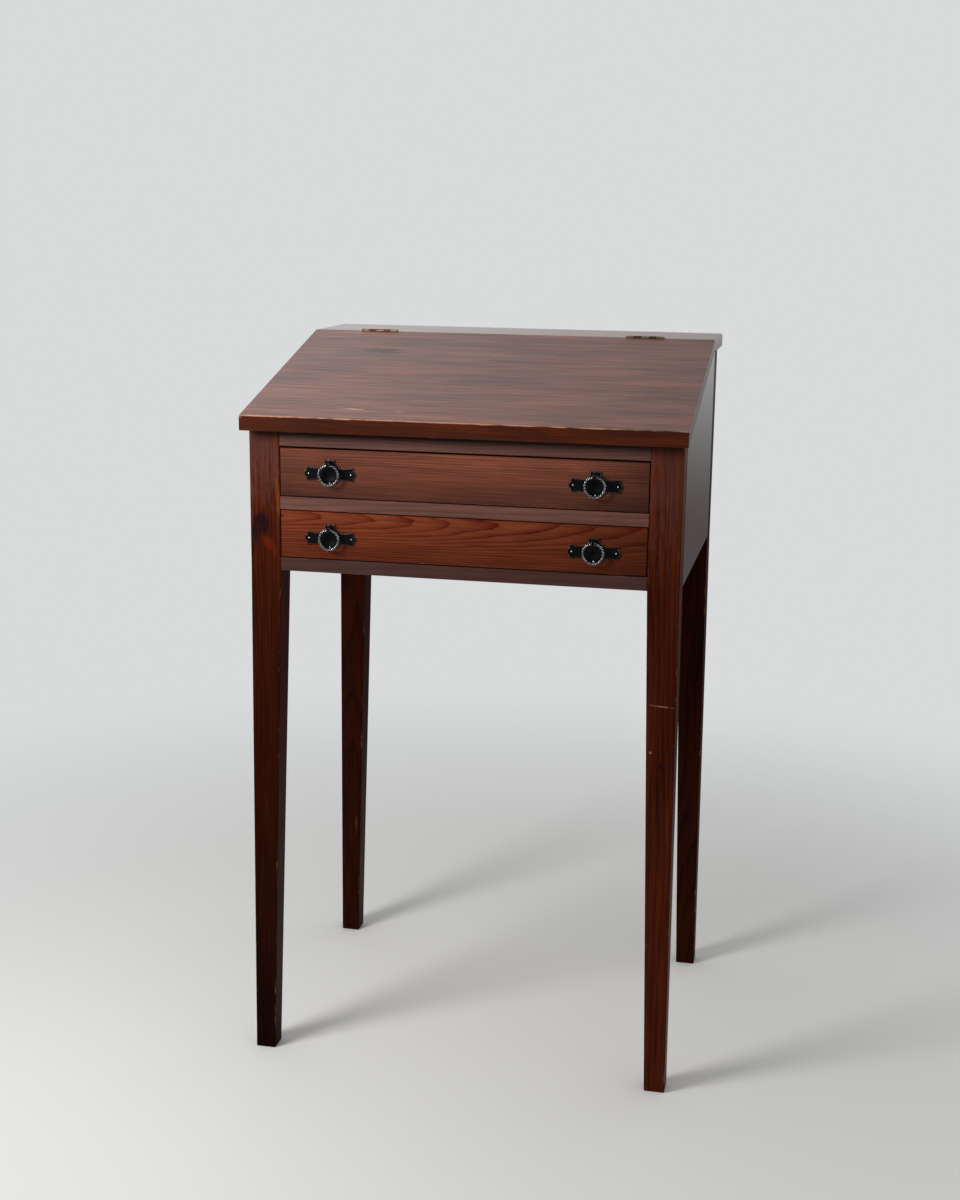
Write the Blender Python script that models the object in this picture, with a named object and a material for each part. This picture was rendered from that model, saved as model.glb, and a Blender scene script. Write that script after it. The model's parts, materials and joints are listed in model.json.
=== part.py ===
"""A slant-top standing desk: legs, case, lifting lid, two dovetailed drawers and four twisted ring pulls.

Metres, +Z up, standing on z = 0 with the front towards -Y and the origin under the middle of the desk.
"""
import math

import bmesh
import bpy
from mathutils import Vector

# Case and legs
CASE_WIDTH = 0.635            # over the legs, where they hold the case
CASE_DEPTH = 0.500            # front of the front legs to back of the rear legs
LEG_SQUARE = 0.046            # leg section inside the case
FOOT_SQUARE = 0.031           # leg section at the floor, tapered on the inner faces
LEG_SPLAY = 0.0055            # how far each foot leans outwards
LEG_ARRIS = 0.0015            # rounding of the legs' long edges

# Lid and fixed rear board
TOP_HEIGHT = 1.102            # top face of the rear board
LID_SLOPE = math.radians(15.0)
LID_THICKNESS = 0.022
REAR_BOARD_THICKNESS = 0.021
REAR_BOARD_DEPTH = 0.155      # seam to back edge
LID_FRONT_OVERHANG = 0.0225   # lid's nose in front of the legs
TOP_SIDE_OVERHANG = 0.0075    # lid and rear board past the legs at each side
TOP_REAR_OVERHANG = 0.005     # rear board past the rear legs
SEAM_GAP = 0.001              # between the lid and the rear board
LID_ARRIS = 0.0015            # rounding of the lid's edges
REAR_BOARD_ARRIS = 0.003      # rounding of the rear board's edges, more handled than the lid's

# Rails and panels
BOTTOM_RAIL_HEIGHT = 0.0195
MIDDLE_RAIL_HEIGHT = 0.019
TOP_RAIL_HEIGHT = 0.0285      # at its front face, under the lid
RAIL_SETBACK = 0.010          # back of the lower two rails in front of the legs' back face
TOP_RAIL_DEPTH = 0.022
RAIL_ARRIS = 0.0008
TENON_LENGTH = 0.025
TENON_SHOULDER = 0.004
PANEL_THICKNESS = 0.018
TONGUE_LENGTH = 0.012
TONGUE_THICKNESS = 0.008
FLOOR_THICKNESS = 0.010       # board under the lid's compartment
HOUSING_DEPTH = 0.006         # how far that board is let into its neighbours

# Drawers
LOWER_OPENING = 0.072         # bottom rail to middle rail
UPPER_OPENING = 0.0745        # middle rail to top rail
DRAWER_GAP = 0.0015           # round a drawer front
UPPER_TOP_GAP = 0.003         # above the upper drawer front
FRONT_THICKNESS = 0.020
DRAWER_SIDE_THICKNESS = 0.011
DRAWER_BACK_THICKNESS = 0.011
DRAWER_BOTTOM_THICKNESS = 0.006
DRAWER_BOTTOM_RISE = 0.008    # underside of the bottom above the runners
DRAWER_GROOVE = 0.005         # depth of the groove that holds the bottom
DRAWER_SIDE_DROP = 0.004      # top of the sides below the top of the front
DRAWER_REAR_SPACE = 0.006     # free space behind a closed drawer
TAIL_COUNT = 2
TAIL_SLOPE = 1.0 / 7.0
TAIL_LAP = 0.006              # wood left in front of the tails in a drawer front
PIN_WIDTH = 0.009             # wood between two tails at their roots
RUNNER_REACH = 0.026          # runner under the drawer, in from the leg
GUIDE_HEIGHT = 0.030
STOP_WIDTH = 0.040
STOP_DEPTH = 0.014
STOP_CLEARANCE = 0.003        # between a stop and the drawer's bottom
STOP_INSET = 0.0715           # stop's centre from the leg

# Hinges
HINGE_LENGTH = 0.060
HINGE_INSET = 0.109           # hinge's centre from the end of the lid
KNUCKLE_COUNT = 5
KNUCKLE_DIAMETER = 0.005
KNUCKLE_RISE = 0.0005         # hinge axis above the rear board's top
HINGE_PIN_DIAMETER = 0.0025
LEAF_THICKNESS = 0.0016
LEAF_WIDTH = 0.016            # hinge axis to the leaf's lower edge
LEAF_GAP = 0.0006             # between the closed leaves

# Pulls
PULL_INSET = 0.0755           # pull's centre from the end of the drawer front
LOWER_PULL_DROP = 0.0035      # pulls of the lower drawer below the middle of its front
PLATE_LENGTH = 0.077
PLATE_WAIST = 0.0165
PLATE_FLARE = 0.020           # height of the fishtail ends
PLATE_THICKNESS = 0.002
PLATE_CHAMFER = 0.0004
FISHTAIL_LENGTH = 0.014       # stretch over which the strap flares
FISHTAIL_TONGUE = 0.004       # middle point past the fishtail's corners
FISHTAIL_SHOULDER = 0.0006    # scallop's inner end past the fishtail's corners
FISHTAIL_TIP_HEIGHT = 0.006   # height of the blunt end of that point
FISHTAIL_TIP_ROUND = 0.0008   # how far the blunt end bulges
DISC_DIAMETER = 0.033
DISH_DIAMETER = 0.0185
DISH_DEPTH = 0.001
EAR_WIDTH = 0.015
EAR_MARGIN = 0.0022           # ear's points above the staple
EAR_NOTCH = 0.0012            # depth of the notches between the ear's points
RING_DIAMETER = 0.0326        # over the bar
RING_BAR = 0.0036             # over the corners of the twisted square bar
RING_TWISTS = 5
RING_STATIONS = 60
RING_DROP = 0.001             # ring's centre below the strap's middle line
RING_STANDOFF = 0.005         # ring's bar in front of the plate
STAPLE_WIDTH = 0.004
STAPLE_WALL = 0.0018
STAPLE_CLEARANCE = 0.0006     # round the ring's bar
STAPLE_SLACK = 0.0011         # further room above the ring's bar
STAPLE_BEND = 0.0012          # inner radius of the staple's two bends
STAPLE_DEPTH = 0.012          # into the drawer front

FIT = 0.0003                  # between pieces that seat on each other
OVERCUT = 0.002               # how far a cutter runs past the face that it opens
WELD = 0.000001               # points closer than this are one
MARKER_SIZE = 0.03            # drawn size of the empties
SHARP_ANGLE = math.radians(40.0)
BEND_STEPS = 4
ROUND_STEPS = 16

# Places that follow from the sizes
total_depth = LID_FRONT_OVERHANG + CASE_DEPTH + TOP_REAR_OVERHANG
rear_edge = total_depth / 2
seam = rear_edge - REAR_BOARD_DEPTH
leg_front = LID_FRONT_OVERHANG - total_depth / 2
leg_back = leg_front + CASE_DEPTH
case_half = CASE_WIDTH / 2
top_half = case_half + TOP_SIDE_OVERHANG
lid_upright = LID_THICKNESS / math.cos(LID_SLOPE)
opening_half = case_half - LEG_SQUARE
between_legs = (leg_front + LEG_SQUARE + FIT, leg_back - LEG_SQUARE - FIT)
panel_inside = case_half - PANEL_THICKNESS
back_inside = leg_back - PANEL_THICKNESS
rail_back = leg_front + LEG_SQUARE - RAIL_SETBACK
top_rail_back = leg_front + TOP_RAIL_DEPTH
hinge_axis = Vector((0.0, seam - SEAM_GAP / 2, TOP_HEIGHT + KNUCKLE_RISE))
drawer_half = opening_half - DRAWER_GAP
drawer_inside = drawer_half - DRAWER_SIDE_THICKNESS
pull_offset = drawer_half - PULL_INSET
hinge_offset = top_half - HINGE_INSET
stop_offset = opening_half - STOP_INSET
front_inside = leg_front + FRONT_THICKNESS
drawer_end = back_inside - DRAWER_REAR_SPACE
plate_face = leg_front - FIT - PLATE_THICKNESS
ring_radius = (RING_DIAMETER - RING_BAR) / 2
eye_rise = ring_radius - RING_DROP
ring_plane = plate_face - RING_STANDOFF - RING_BAR / 2
staple_height = RING_BAR + 2 * (STAPLE_CLEARANCE + STAPLE_WALL) + STAPLE_SLACK
staple_bottom = eye_rise - RING_BAR / 2 - STAPLE_CLEARANCE - STAPLE_WALL
ear_height = staple_bottom + staple_height + EAR_MARGIN


def lid_top(y):
    """Height of the lid's writing face."""
    return TOP_HEIGHT - (seam - SEAM_GAP - y) * math.tan(LID_SLOPE)


def case_top(y):
    """Height of the case's top edge: under the sloping lid, then under the level rear board."""
    return min(lid_top(y) - lid_upright, TOP_HEIGHT - REAR_BOARD_THICKNESS) - FIT


def case_break():
    """Where the case's top edge turns from sloping to level."""
    return seam - SEAM_GAP + (lid_upright - REAR_BOARD_THICKNESS) / math.tan(LID_SLOPE)


# Heights of the case, from the lid down
top_rail_bottom = case_top(leg_front) - TOP_RAIL_HEIGHT
upper_sill = top_rail_bottom - UPPER_OPENING
lower_sill = upper_sill - MIDDLE_RAIL_HEIGHT - LOWER_OPENING
case_bottom = lower_sill - BOTTOM_RAIL_HEIGHT


def clear_scene():
    """Remove every object, so that the desk stands alone."""
    for old in list(bpy.data.objects):
        bpy.data.objects.remove(old, do_unlink=True)


def finish(name, colour, roughness, metallic):
    """A plain surface of one colour."""
    surface = bpy.data.materials.new(name)
    surface.use_nodes = True
    shader = surface.node_tree.nodes["Principled BSDF"]
    shader.inputs["Base Color"].default_value = (*colour, 1.0)
    shader.inputs["Roughness"].default_value = roughness
    shader.inputs["Metallic"].default_value = metallic
    return surface


def marker(name, place, parent=None):
    """An empty on a joint's axis, which carries the pieces that move together."""
    empty = bpy.data.objects.new(name, None)
    empty.empty_display_size = MARKER_SIZE
    bpy.context.collection.objects.link(empty)
    empty.parent = parent
    empty.location = place - world_place(parent)
    return empty


def world_place(obj):
    """Place of an object that only has parents which aren't turned."""
    place = Vector()
    while obj is not None:
        place += obj.location
        obj = obj.parent
    return place


def piece(name, shape, surface, carrier, origin=None):
    """A named object from a shape drawn in the desk's coordinates, with its origin on its carrier's axis."""
    origin = world_place(carrier) if origin is None else Vector(origin)
    bmesh.ops.translate(shape, verts=shape.verts, vec=-origin)
    data = bpy.data.meshes.new(name)
    shape.to_mesh(data)
    shape.free()
    data.materials.append(surface)
    obj = bpy.data.objects.new(name, data)
    bpy.context.collection.objects.link(obj)
    obj.parent = carrier
    obj.location = origin - world_place(carrier)
    return obj


def combine(target, shape, operation):
    """Cut a shape out of a piece, or join it on, with a hidden operand."""
    data = bpy.data.meshes.new("operand")
    shape.to_mesh(data)
    shape.free()
    operand = bpy.data.objects.new(f"{target.name}_operand_{len(target.modifiers)}", data)
    bpy.context.collection.objects.link(operand)
    operand.hide_render = True
    operand.display_type = "WIRE"
    step = target.modifiers.new(operation.title(), "BOOLEAN")
    step.operation = operation
    step.object = operand


def shade_round(obj):
    """Shade a round piece smooth, with its sharp edges kept."""
    obj.data.shade_smooth()
    obj.data.set_sharp_from_angle(angle=SHARP_ANGLE)


def box(low, high):
    """A box between two corners."""
    low = Vector(low)
    high = Vector(high)
    shape = bmesh.new()
    bmesh.ops.create_cube(shape, size=1.0)
    bmesh.ops.scale(shape, verts=shape.verts, vec=high - low)
    bmesh.ops.translate(shape, verts=shape.verts, vec=(low + high) / 2)
    return shape


def lift(axis, along, point):
    """A point of a flat outline, set at a place along the axis that the outline is extruded on."""
    first, second = point
    corners = {"X": (along, first, second), "Y": (first, along, second), "Z": (first, second, along)}
    return Vector(corners[axis])


def prism(outline, axis, start, end):
    """A flat outline extruded along an axis."""
    shape = bmesh.new()
    corners = [shape.verts.new(lift(axis, start, point)) for point in outline]
    face = shape.faces.new(corners)
    grown = bmesh.ops.extrude_face_region(shape, geom=[face])
    moved = [item for item in grown["geom"] if isinstance(item, bmesh.types.BMVert)]
    bmesh.ops.translate(shape, verts=moved, vec=lift(axis, end - start, (0.0, 0.0)))
    bmesh.ops.recalc_face_normals(shape, faces=shape.faces)
    return shape


def skin(sections, closed=False):
    """A solid through cross-sections of equal point counts, capped at both ends or closed to a ring."""
    shape = bmesh.new()
    rings = [[shape.verts.new(point) for point in section] for section in sections]
    pairs = list(zip(rings, rings[1:]))
    if closed:
        pairs.append((rings[-1], rings[0]))
    else:
        shape.faces.new(rings[0])
        shape.faces.new(rings[-1])
    for ring, following in pairs:
        for here in range(len(ring)):
            after = (here + 1) % len(ring)
            shape.faces.new((ring[here], ring[after], following[after], following[here]))
    bmesh.ops.recalc_face_normals(shape, faces=shape.faces)
    return shape


def rod(centre, diameter, length):
    """A round bar along X."""
    turn = [math.tau * step / ROUND_STEPS for step in range(ROUND_STEPS)]
    outline = [(centre.y + diameter / 2 * math.cos(a), centre.z + diameter / 2 * math.sin(a)) for a in turn]
    return prism(outline, "X", centre.x - length / 2, centre.x + length / 2)


def together(shapes):
    """Several separate shapes as one operand."""
    whole = bmesh.new()
    for shape in shapes:
        data = bpy.data.meshes.new("part")
        shape.to_mesh(data)
        shape.free()
        whole.from_mesh(data)
        bpy.data.meshes.remove(data)
    return whole


def soften(shape, width, segments, chosen):
    """Round the edges whose two ends are chosen."""
    edges = [edge for edge in shape.edges if chosen(edge.verts[0].co, edge.verts[1].co)]
    bmesh.ops.bevel(shape, geom=edges, offset=width, offset_type="OFFSET", segments=segments, profile=0.5,
                    affect="EDGES", clamp_overlap=True, material=-1)
    return shape


def arc(centre, radius, start, end, steps):
    """Points on an arc, its two ends among them, with angles in degrees."""
    angles = [math.radians(start + (end - start) * step / steps) for step in range(steps + 1)]
    return [(centre[0] + radius * math.cos(a), centre[1] + radius * math.sin(a)) for a in angles]


def leg_section(side, end, square, lean, heights):
    """The four corners of a leg at one level; its outer corner keeps to the case's corner."""
    outer_x = side * (case_half + lean)
    inner_x = side * (case_half + lean - square)
    outer_y = leg_front if end < 0 else leg_back
    inner_y = outer_y - end * square
    corners = [(outer_x, outer_y), (inner_x, outer_y), (inner_x, inner_y), (outer_x, inner_y)]
    return [Vector((x, y, heights(y))) for x, y in corners]


def tongue_outline(grow):
    """Side view of a side panel's tongued core; grown, it is the groove in the legs."""
    front = between_legs[0] - TONGUE_LENGTH - grow
    back = between_legs[1] + TONGUE_LENGTH + grow
    bottom = case_bottom + TENON_SHOULDER - grow
    drop = TENON_SHOULDER - grow
    turn = case_break()
    return [(front, bottom), (back, bottom), (back, case_top(back) - drop), (turn, case_top(turn) - drop),
            (front, case_top(front) - drop)]


def side_tongue(side, grow):
    """The tongued core of a side panel."""
    middle = case_half - PANEL_THICKNESS / 2
    half = TONGUE_THICKNESS / 2 + grow
    return prism(tongue_outline(grow), "X", side * (middle - half), side * (middle + half))


def back_tongue(grow):
    """The tongued core of the back panel."""
    reach = opening_half + TONGUE_LENGTH - FIT + grow
    middle = leg_back - PANEL_THICKNESS / 2
    half = TONGUE_THICKNESS / 2 + grow
    bottom = case_bottom + TENON_SHOULDER - grow
    top = case_top(leg_back) - TENON_SHOULDER + grow
    return box((-reach, middle - half, bottom), (reach, middle + half, top))


def tenon(bottom, top, back, grow):
    """The tenoned core of a rail; grown, it is the mortise in the legs."""
    reach = opening_half + TENON_LENGTH - FIT + grow
    inset = TENON_SHOULDER - grow
    return box((-reach, leg_front + inset, bottom + inset), (reach, back - inset, top - inset))


def make_legs(rails):
    """Four legs, mortised for the rails and grooved for the panels."""
    for side, side_name in ((-1, "left"), (1, "right")):
        for end, end_name in ((-1, "front"), (1, "rear")):
            foot = leg_section(side, end, FOOT_SQUARE, LEG_SPLAY, lambda y: 0.0)
            knee = leg_section(side, end, LEG_SQUARE, 0.0, lambda y: case_bottom)
            head = leg_section(side, end, LEG_SQUARE, 0.0, case_top)
            shape = skin([foot, knee, head])
            soften(shape, LEG_ARRIS, 2, lambda a, b: abs(a.z - b.z) > LEG_SQUARE or a.z == b.z == 0.0)
            origin = (side * (case_half - LEG_SQUARE / 2), sum(v.y for v in knee) / len(knee), 0.0)
            leg = piece(f"{end_name}_{side_name}_leg", shape, stained_pine, desk, origin)
            combine(leg, side_tongue(side, FIT), "DIFFERENCE")
            if end > 0:
                combine(leg, back_tongue(FIT), "DIFFERENCE")
                continue
            combine(leg, together([tenon(*rail, FIT) for rail in rails]), "DIFFERENCE")


def make_panels():
    """Side panels cut to the lid's slope and a level back panel, all tongued into the legs."""
    front, back = between_legs
    turn = case_break()
    outline = [(front, case_bottom), (back, case_bottom), (back, case_top(back)), (turn, case_top(turn)),
               (front, case_top(front))]
    housing = (top_rail_bottom - FIT, top_rail_bottom + FLOOR_THICKNESS + FIT)
    for side, name in ((-1, "left"), (1, "right")):
        shape = prism(outline, "X", side * panel_inside, side * case_half)
        panel = piece(f"{name}_side_panel", shape, stained_pine, desk, (side * case_half, 0.0, case_bottom))
        combine(panel, side_tongue(side, 0.0), "UNION")
        edges = sorted((side * (panel_inside - OVERCUT), side * (panel_inside + HOUSING_DEPTH)))
        slot = box((edges[0], front - OVERCUT, housing[0]), (edges[1], back + OVERCUT, housing[1]))
        combine(panel, slot, "DIFFERENCE")
    half = opening_half - FIT
    shape = box((-half, back_inside, case_bottom), (half, leg_back, case_top(leg_back)))
    panel = piece("back_panel", shape, stained_pine, desk, (0.0, leg_back, case_bottom))
    combine(panel, back_tongue(0.0), "UNION")
    slot = box((-half - OVERCUT, back_inside - OVERCUT, housing[0]),
               (half + OVERCUT, back_inside + HOUSING_DEPTH, housing[1]))
    combine(panel, slot, "DIFFERENCE")


def make_rails(rails):
    """Three rails between the front legs; the top one is rebated for the compartment's floor."""
    half = opening_half - FIT
    for name, (bottom, top, back) in zip(("bottom", "middle", "top"), rails):
        outline = [(leg_front, bottom), (back, bottom), (back, top), (leg_front, top)]
        if name == "top":
            ledge = bottom + FLOOR_THICKNESS + FIT
            outline = [(leg_front, bottom), (back, bottom), (back, ledge), (top_rail_back, ledge),
                       (top_rail_back, case_top(top_rail_back)), (leg_front, top)]
        shape = prism(outline, "X", -half, half)
        soften(shape, RAIL_ARRIS, 1, lambda a, b: max(a.y, b.y) < leg_front + RAIL_ARRIS)
        rail = piece(f"{name}_rail", shape, stained_pine, desk, (0.0, leg_front, bottom))
        combine(rail, tenon(bottom, top, back, 0.0), "UNION")


def make_floor():
    """Floor of the compartment: let into the panels and the top rail, and notched round the legs."""
    inner = opening_half - FIT
    outer = panel_inside + HOUSING_DEPTH - FIT
    front = top_rail_back - HOUSING_DEPTH + FIT
    back = back_inside + HOUSING_DEPTH - FIT
    near, far = between_legs
    right = [(inner, front), (inner, near), (outer, near), (outer, far), (inner, far), (inner, back)]
    left = [(-x, y) for x, y in reversed(right)]
    shape = prism(right + left, "Z", top_rail_bottom, top_rail_bottom + FLOOR_THICKNESS)
    piece("compartment_floor", shape, bare_pine, desk, (0.0, 0.0, top_rail_bottom))


def make_runners():
    """A runner, a guide and a stop at each side of each drawer."""
    near, far = between_legs
    for level, sill, height in (("lower", lower_sill, BOTTOM_RAIL_HEIGHT),
                                ("upper", upper_sill, MIDDLE_RAIL_HEIGHT)):
        for side, name in ((-1, "left"), (1, "right")):
            under = side * (opening_half - RUNNER_REACH)
            beside_leg = side * (opening_half - FIT)
            beside_panel = side * (panel_inside - FIT)
            start = rail_back + FIT
            end = back_inside - FIT
            outline = [(under, start), (beside_leg, start), (beside_leg, near), (beside_panel, near),
                       (beside_panel, far), (beside_leg, far), (beside_leg, end), (under, end)]
            runner = prism(outline, "Z", sill - height, sill)
            piece(f"{level}_{name}_runner", runner, bare_pine, desk, (under, 0.0, sill))
            edges = sorted((side * opening_half, beside_panel))
            guide = box((edges[0], near, sill + FIT), (edges[1], far, sill + FIT + GUIDE_HEIGHT))
            piece(f"{level}_{name}_guide", guide, bare_pine, desk, (beside_panel, 0.0, sill))
            middle = side * stop_offset
            low = sill + FIT
            high = low + DRAWER_BOTTOM_RISE - STOP_CLEARANCE
            block = box((middle - STOP_WIDTH / 2, front_inside + FIT, low),
                        (middle + STOP_WIDTH / 2, front_inside + FIT + STOP_DEPTH, high))
            piece(f"{level}_{name}_stop", block, bare_pine, desk, (middle, front_inside, sill))


def leaf_bed(side, towards_lid):
    """Cutter for a hinge leaf and its knuckles in the edge of the lid or of the rear board."""
    way = -1 if towards_lid else 1
    middle = side * hinge_offset
    half = HINGE_LENGTH / 2 + FIT
    start = hinge_axis.y - way * OVERCUT
    leaf_end = hinge_axis.y + way * (LEAF_GAP / 2 + LEAF_THICKNESS + FIT)
    leaf_low = hinge_axis.z - LEAF_WIDTH - FIT
    knuckle_end = hinge_axis.y + way * (KNUCKLE_DIAMETER / 2 + FIT)
    knuckle_low = hinge_axis.z - KNUCKLE_DIAMETER / 2 - FIT
    above = TOP_HEIGHT + KNUCKLE_DIAMETER
    outline = [(start, leaf_low), (leaf_end, leaf_low), (leaf_end, knuckle_low), (knuckle_end, knuckle_low),
               (knuckle_end, above), (start, above)]
    return prism(outline, "X", middle - half, middle + half)


def make_rear_board():
    """The level board behind the lid, with square ends, rounded arrises and beds for the hinges."""
    shape = box((-top_half, seam, TOP_HEIGHT - REAR_BOARD_THICKNESS), (top_half, rear_edge, TOP_HEIGHT))
    soften(shape, REAR_BOARD_ARRIS, 3, lambda a, b: max(a.y, b.y) > seam + REAR_BOARD_ARRIS)
    board = piece("rear_board", shape, stained_pine, desk, (0.0, seam, TOP_HEIGHT))
    shade_round(board)
    for side in (-1, 1):
        combine(board, leaf_bed(side, False), "DIFFERENCE")


def make_lid(carrier):
    """The slanted writing lid: upright nose and rear edge, rounded arrises."""
    nose = -total_depth / 2
    rear = seam - SEAM_GAP
    outline = [(nose, lid_top(nose) - lid_upright), (rear, lid_top(rear) - lid_upright),
               (rear, lid_top(rear)), (nose, lid_top(nose))]
    shape = prism(outline, "X", -top_half, top_half)
    soften(shape, LID_ARRIS, 3, lambda a, b: min(a.y, b.y) < rear - LID_ARRIS)
    lid = piece("lid", shape, stained_pine, carrier)
    shade_round(lid)
    for side in (-1, 1):
        combine(lid, leaf_bed(side, True), "DIFFERENCE")


def make_hinge(side, name, carrier):
    """A butt hinge: two leaves whose knuckles alternate along one pin."""
    middle = side * hinge_offset
    pitch = HINGE_LENGTH / KNUCKLE_COUNT
    start = middle - HINGE_LENGTH / 2
    axis = Vector((middle, hinge_axis.y, hinge_axis.z))
    low = axis.z - LEAF_WIDTH
    shoulder = axis.z - KNUCKLE_DIAMETER / 2 - FIT
    root = axis.z - KNUCKLE_DIAMETER / 4
    for first, way, holder, half in ((0, 1, desk, "board"), (1, -1, carrier, "lid")):
        outline = [(start, low), (start + HINGE_LENGTH, low)]
        barrels = []
        for index in reversed(range(KNUCKLE_COUNT)):
            left = start + index * pitch + (FIT / 2 if index > 0 else 0.0)
            right = start + (index + 1) * pitch - (FIT / 2 if index < KNUCKLE_COUNT - 1 else 0.0)
            own = index % 2 == first
            if own:
                centre = Vector(((left + right) / 2, axis.y, axis.z))
                barrels.append(rod(centre, KNUCKLE_DIAMETER, right - left))
            if own == (index < KNUCKLE_COUNT - 1):
                outline.append((right, shoulder))
            if own:
                outline += [(right, root), (left, root)]
            if own == (index > 0):
                outline.append((left, shoulder))
        near = axis.y + way * LEAF_GAP / 2
        plate = prism(outline, "Y", near, near + way * LEAF_THICKNESS)
        leaf = piece(f"{name}_hinge_{half}_leaf", plate, brass, holder, axis)
        combine(leaf, together(barrels), "UNION")
        combine(leaf, rod(axis, HINGE_PIN_DIAMETER + 2 * FIT, HINGE_LENGTH + OVERCUT), "DIFFERENCE")
        shade_round(leaf)
    pin = piece(f"{name}_hinge_pin", rod(axis, HINGE_PIN_DIAMETER, HINGE_LENGTH), brass, desk, axis)
    shade_round(pin)


def tails(root, tip, low, high, shrink):
    """Side views of the dovetails between two heights; shrunk, they slide into sockets of the full size."""
    pitch = (high - low) / TAIL_COUNT
    way = 1 if tip > root else -1
    tip -= way * shrink
    root_half = (pitch - PIN_WIDTH) / 2 - shrink
    tip_half = root_half + abs(tip - root) * TAIL_SLOPE
    shapes = []
    for index in range(TAIL_COUNT):
        middle = low + (index + 0.5) * pitch
        shapes.append([(root, middle - root_half), (tip, middle - tip_half),
                       (tip, middle + tip_half), (root, middle + root_half)])
    return shapes


def socket(tail, side):
    """Cutter for one dovetail's socket in the end of a drawer's front or back."""
    root, tip = tail[0][0], tail[1][0]
    mouth = root - OVERCUT if tip > root else root + OVERCUT
    opened = [(mouth, tail[0][1]), *tail, (mouth, tail[3][1])]
    ends = sorted((side * (drawer_inside - FIT), side * (drawer_half + OVERCUT)))
    return prism(opened, "X", ends[0], ends[1])


def make_drawer(level, sill, front_top, pull_height, carrier):
    """One drawer: front, two dovetailed sides, a back and a bottom held in grooves, and two pulls."""
    front_bottom = sill + DRAWER_GAP
    side_bottom = sill + FIT
    side_top = front_top - DRAWER_SIDE_DROP
    bottom_low = side_bottom + DRAWER_BOTTOM_RISE
    bottom_high = bottom_low + DRAWER_BOTTOM_THICKNESS
    back_low = bottom_high + FIT
    back_front = drawer_end - DRAWER_BACK_THICKNESS
    tail_tip = leg_front + TAIL_LAP
    groove_half = drawer_inside + DRAWER_GROOVE

    shape = box((-drawer_half, leg_front, front_bottom), (drawer_half, front_inside, front_top))
    soften(shape, RAIL_ARRIS, 1, lambda a, b: max(a.y, b.y) < leg_front + RAIL_ARRIS)
    front = piece(f"{level}_drawer_front", shape, drawer_front_pine, carrier)
    sockets = [socket(tail, side) for side in (-1, 1)
               for tail in tails(front_inside, tail_tip, front_bottom, side_top, 0.0)]
    combine(front, together(sockets), "DIFFERENCE")
    groove = box((-groove_half, front_inside - DRAWER_GROOVE, bottom_low - FIT),
                 (groove_half, front_inside + OVERCUT, bottom_high + FIT))
    combine(front, groove, "DIFFERENCE")
    legs = [staple_leg(side * pull_offset, pull_height, upper, FIT)
            for side in (-1, 1) for upper in (False, True)]
    combine(front, together(legs), "DIFFERENCE")

    shape = box((-drawer_half, back_front, back_low), (drawer_half, drawer_end, side_top))
    back = piece(f"{level}_drawer_back", shape, bare_pine, carrier)
    sockets = [socket(tail, side) for side in (-1, 1)
               for tail in tails(back_front, drawer_end + OVERCUT, back_low, side_top, 0.0)]
    combine(back, together(sockets), "DIFFERENCE")

    outline = [(front_inside + FIT, side_bottom)]
    outline += [(drawer_end, side_bottom), (drawer_end, back_low - FIT), (back_front - FIT, back_low - FIT)]
    for tail in tails(back_front - FIT, drawer_end, back_low, side_top, FIT):
        outline += tail
    outline += [(back_front - FIT, side_top), (front_inside + FIT, side_top)]
    for tail in reversed(tails(front_inside + FIT, tail_tip, front_bottom, side_top, FIT)):
        outline += reversed(tail)
    for side, name in ((-1, "left"), (1, "right")):
        ends = sorted((side * drawer_inside, side * drawer_half))
        board = piece(f"{level}_drawer_{name}_side", prism(outline, "X", *ends), bare_pine, carrier)
        ends = sorted((side * (drawer_inside - OVERCUT), side * groove_half))
        groove = box((ends[0], leg_front, bottom_low - FIT),
                     (ends[1], drawer_end + OVERCUT, bottom_high + FIT))
        combine(board, groove, "DIFFERENCE")

    reach = groove_half - FIT
    bottom = box((-reach, front_inside - DRAWER_GROOVE + FIT, bottom_low), (reach, drawer_end, bottom_high))
    piece(f"{level}_drawer_bottom", bottom, bare_pine, carrier)
    for side, name in ((-1, "left"), (1, "right")):
        make_pull(f"{level}_{name}", Vector((side * pull_offset, leg_front, pull_height)), carrier)


def staple_leg(x, height, upper, grow):
    """One leg of a staple inside the plate and the drawer front; grown, it is the leg's hole."""
    low = height + staple_bottom
    if upper:
        low += staple_height - STAPLE_WALL
    half = STAPLE_WIDTH / 2 + grow
    return box((x - half, plate_face - OVERCUT, low - grow),
               (x + half, leg_front + STAPLE_DEPTH + grow, low + STAPLE_WALL + grow))


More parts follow.
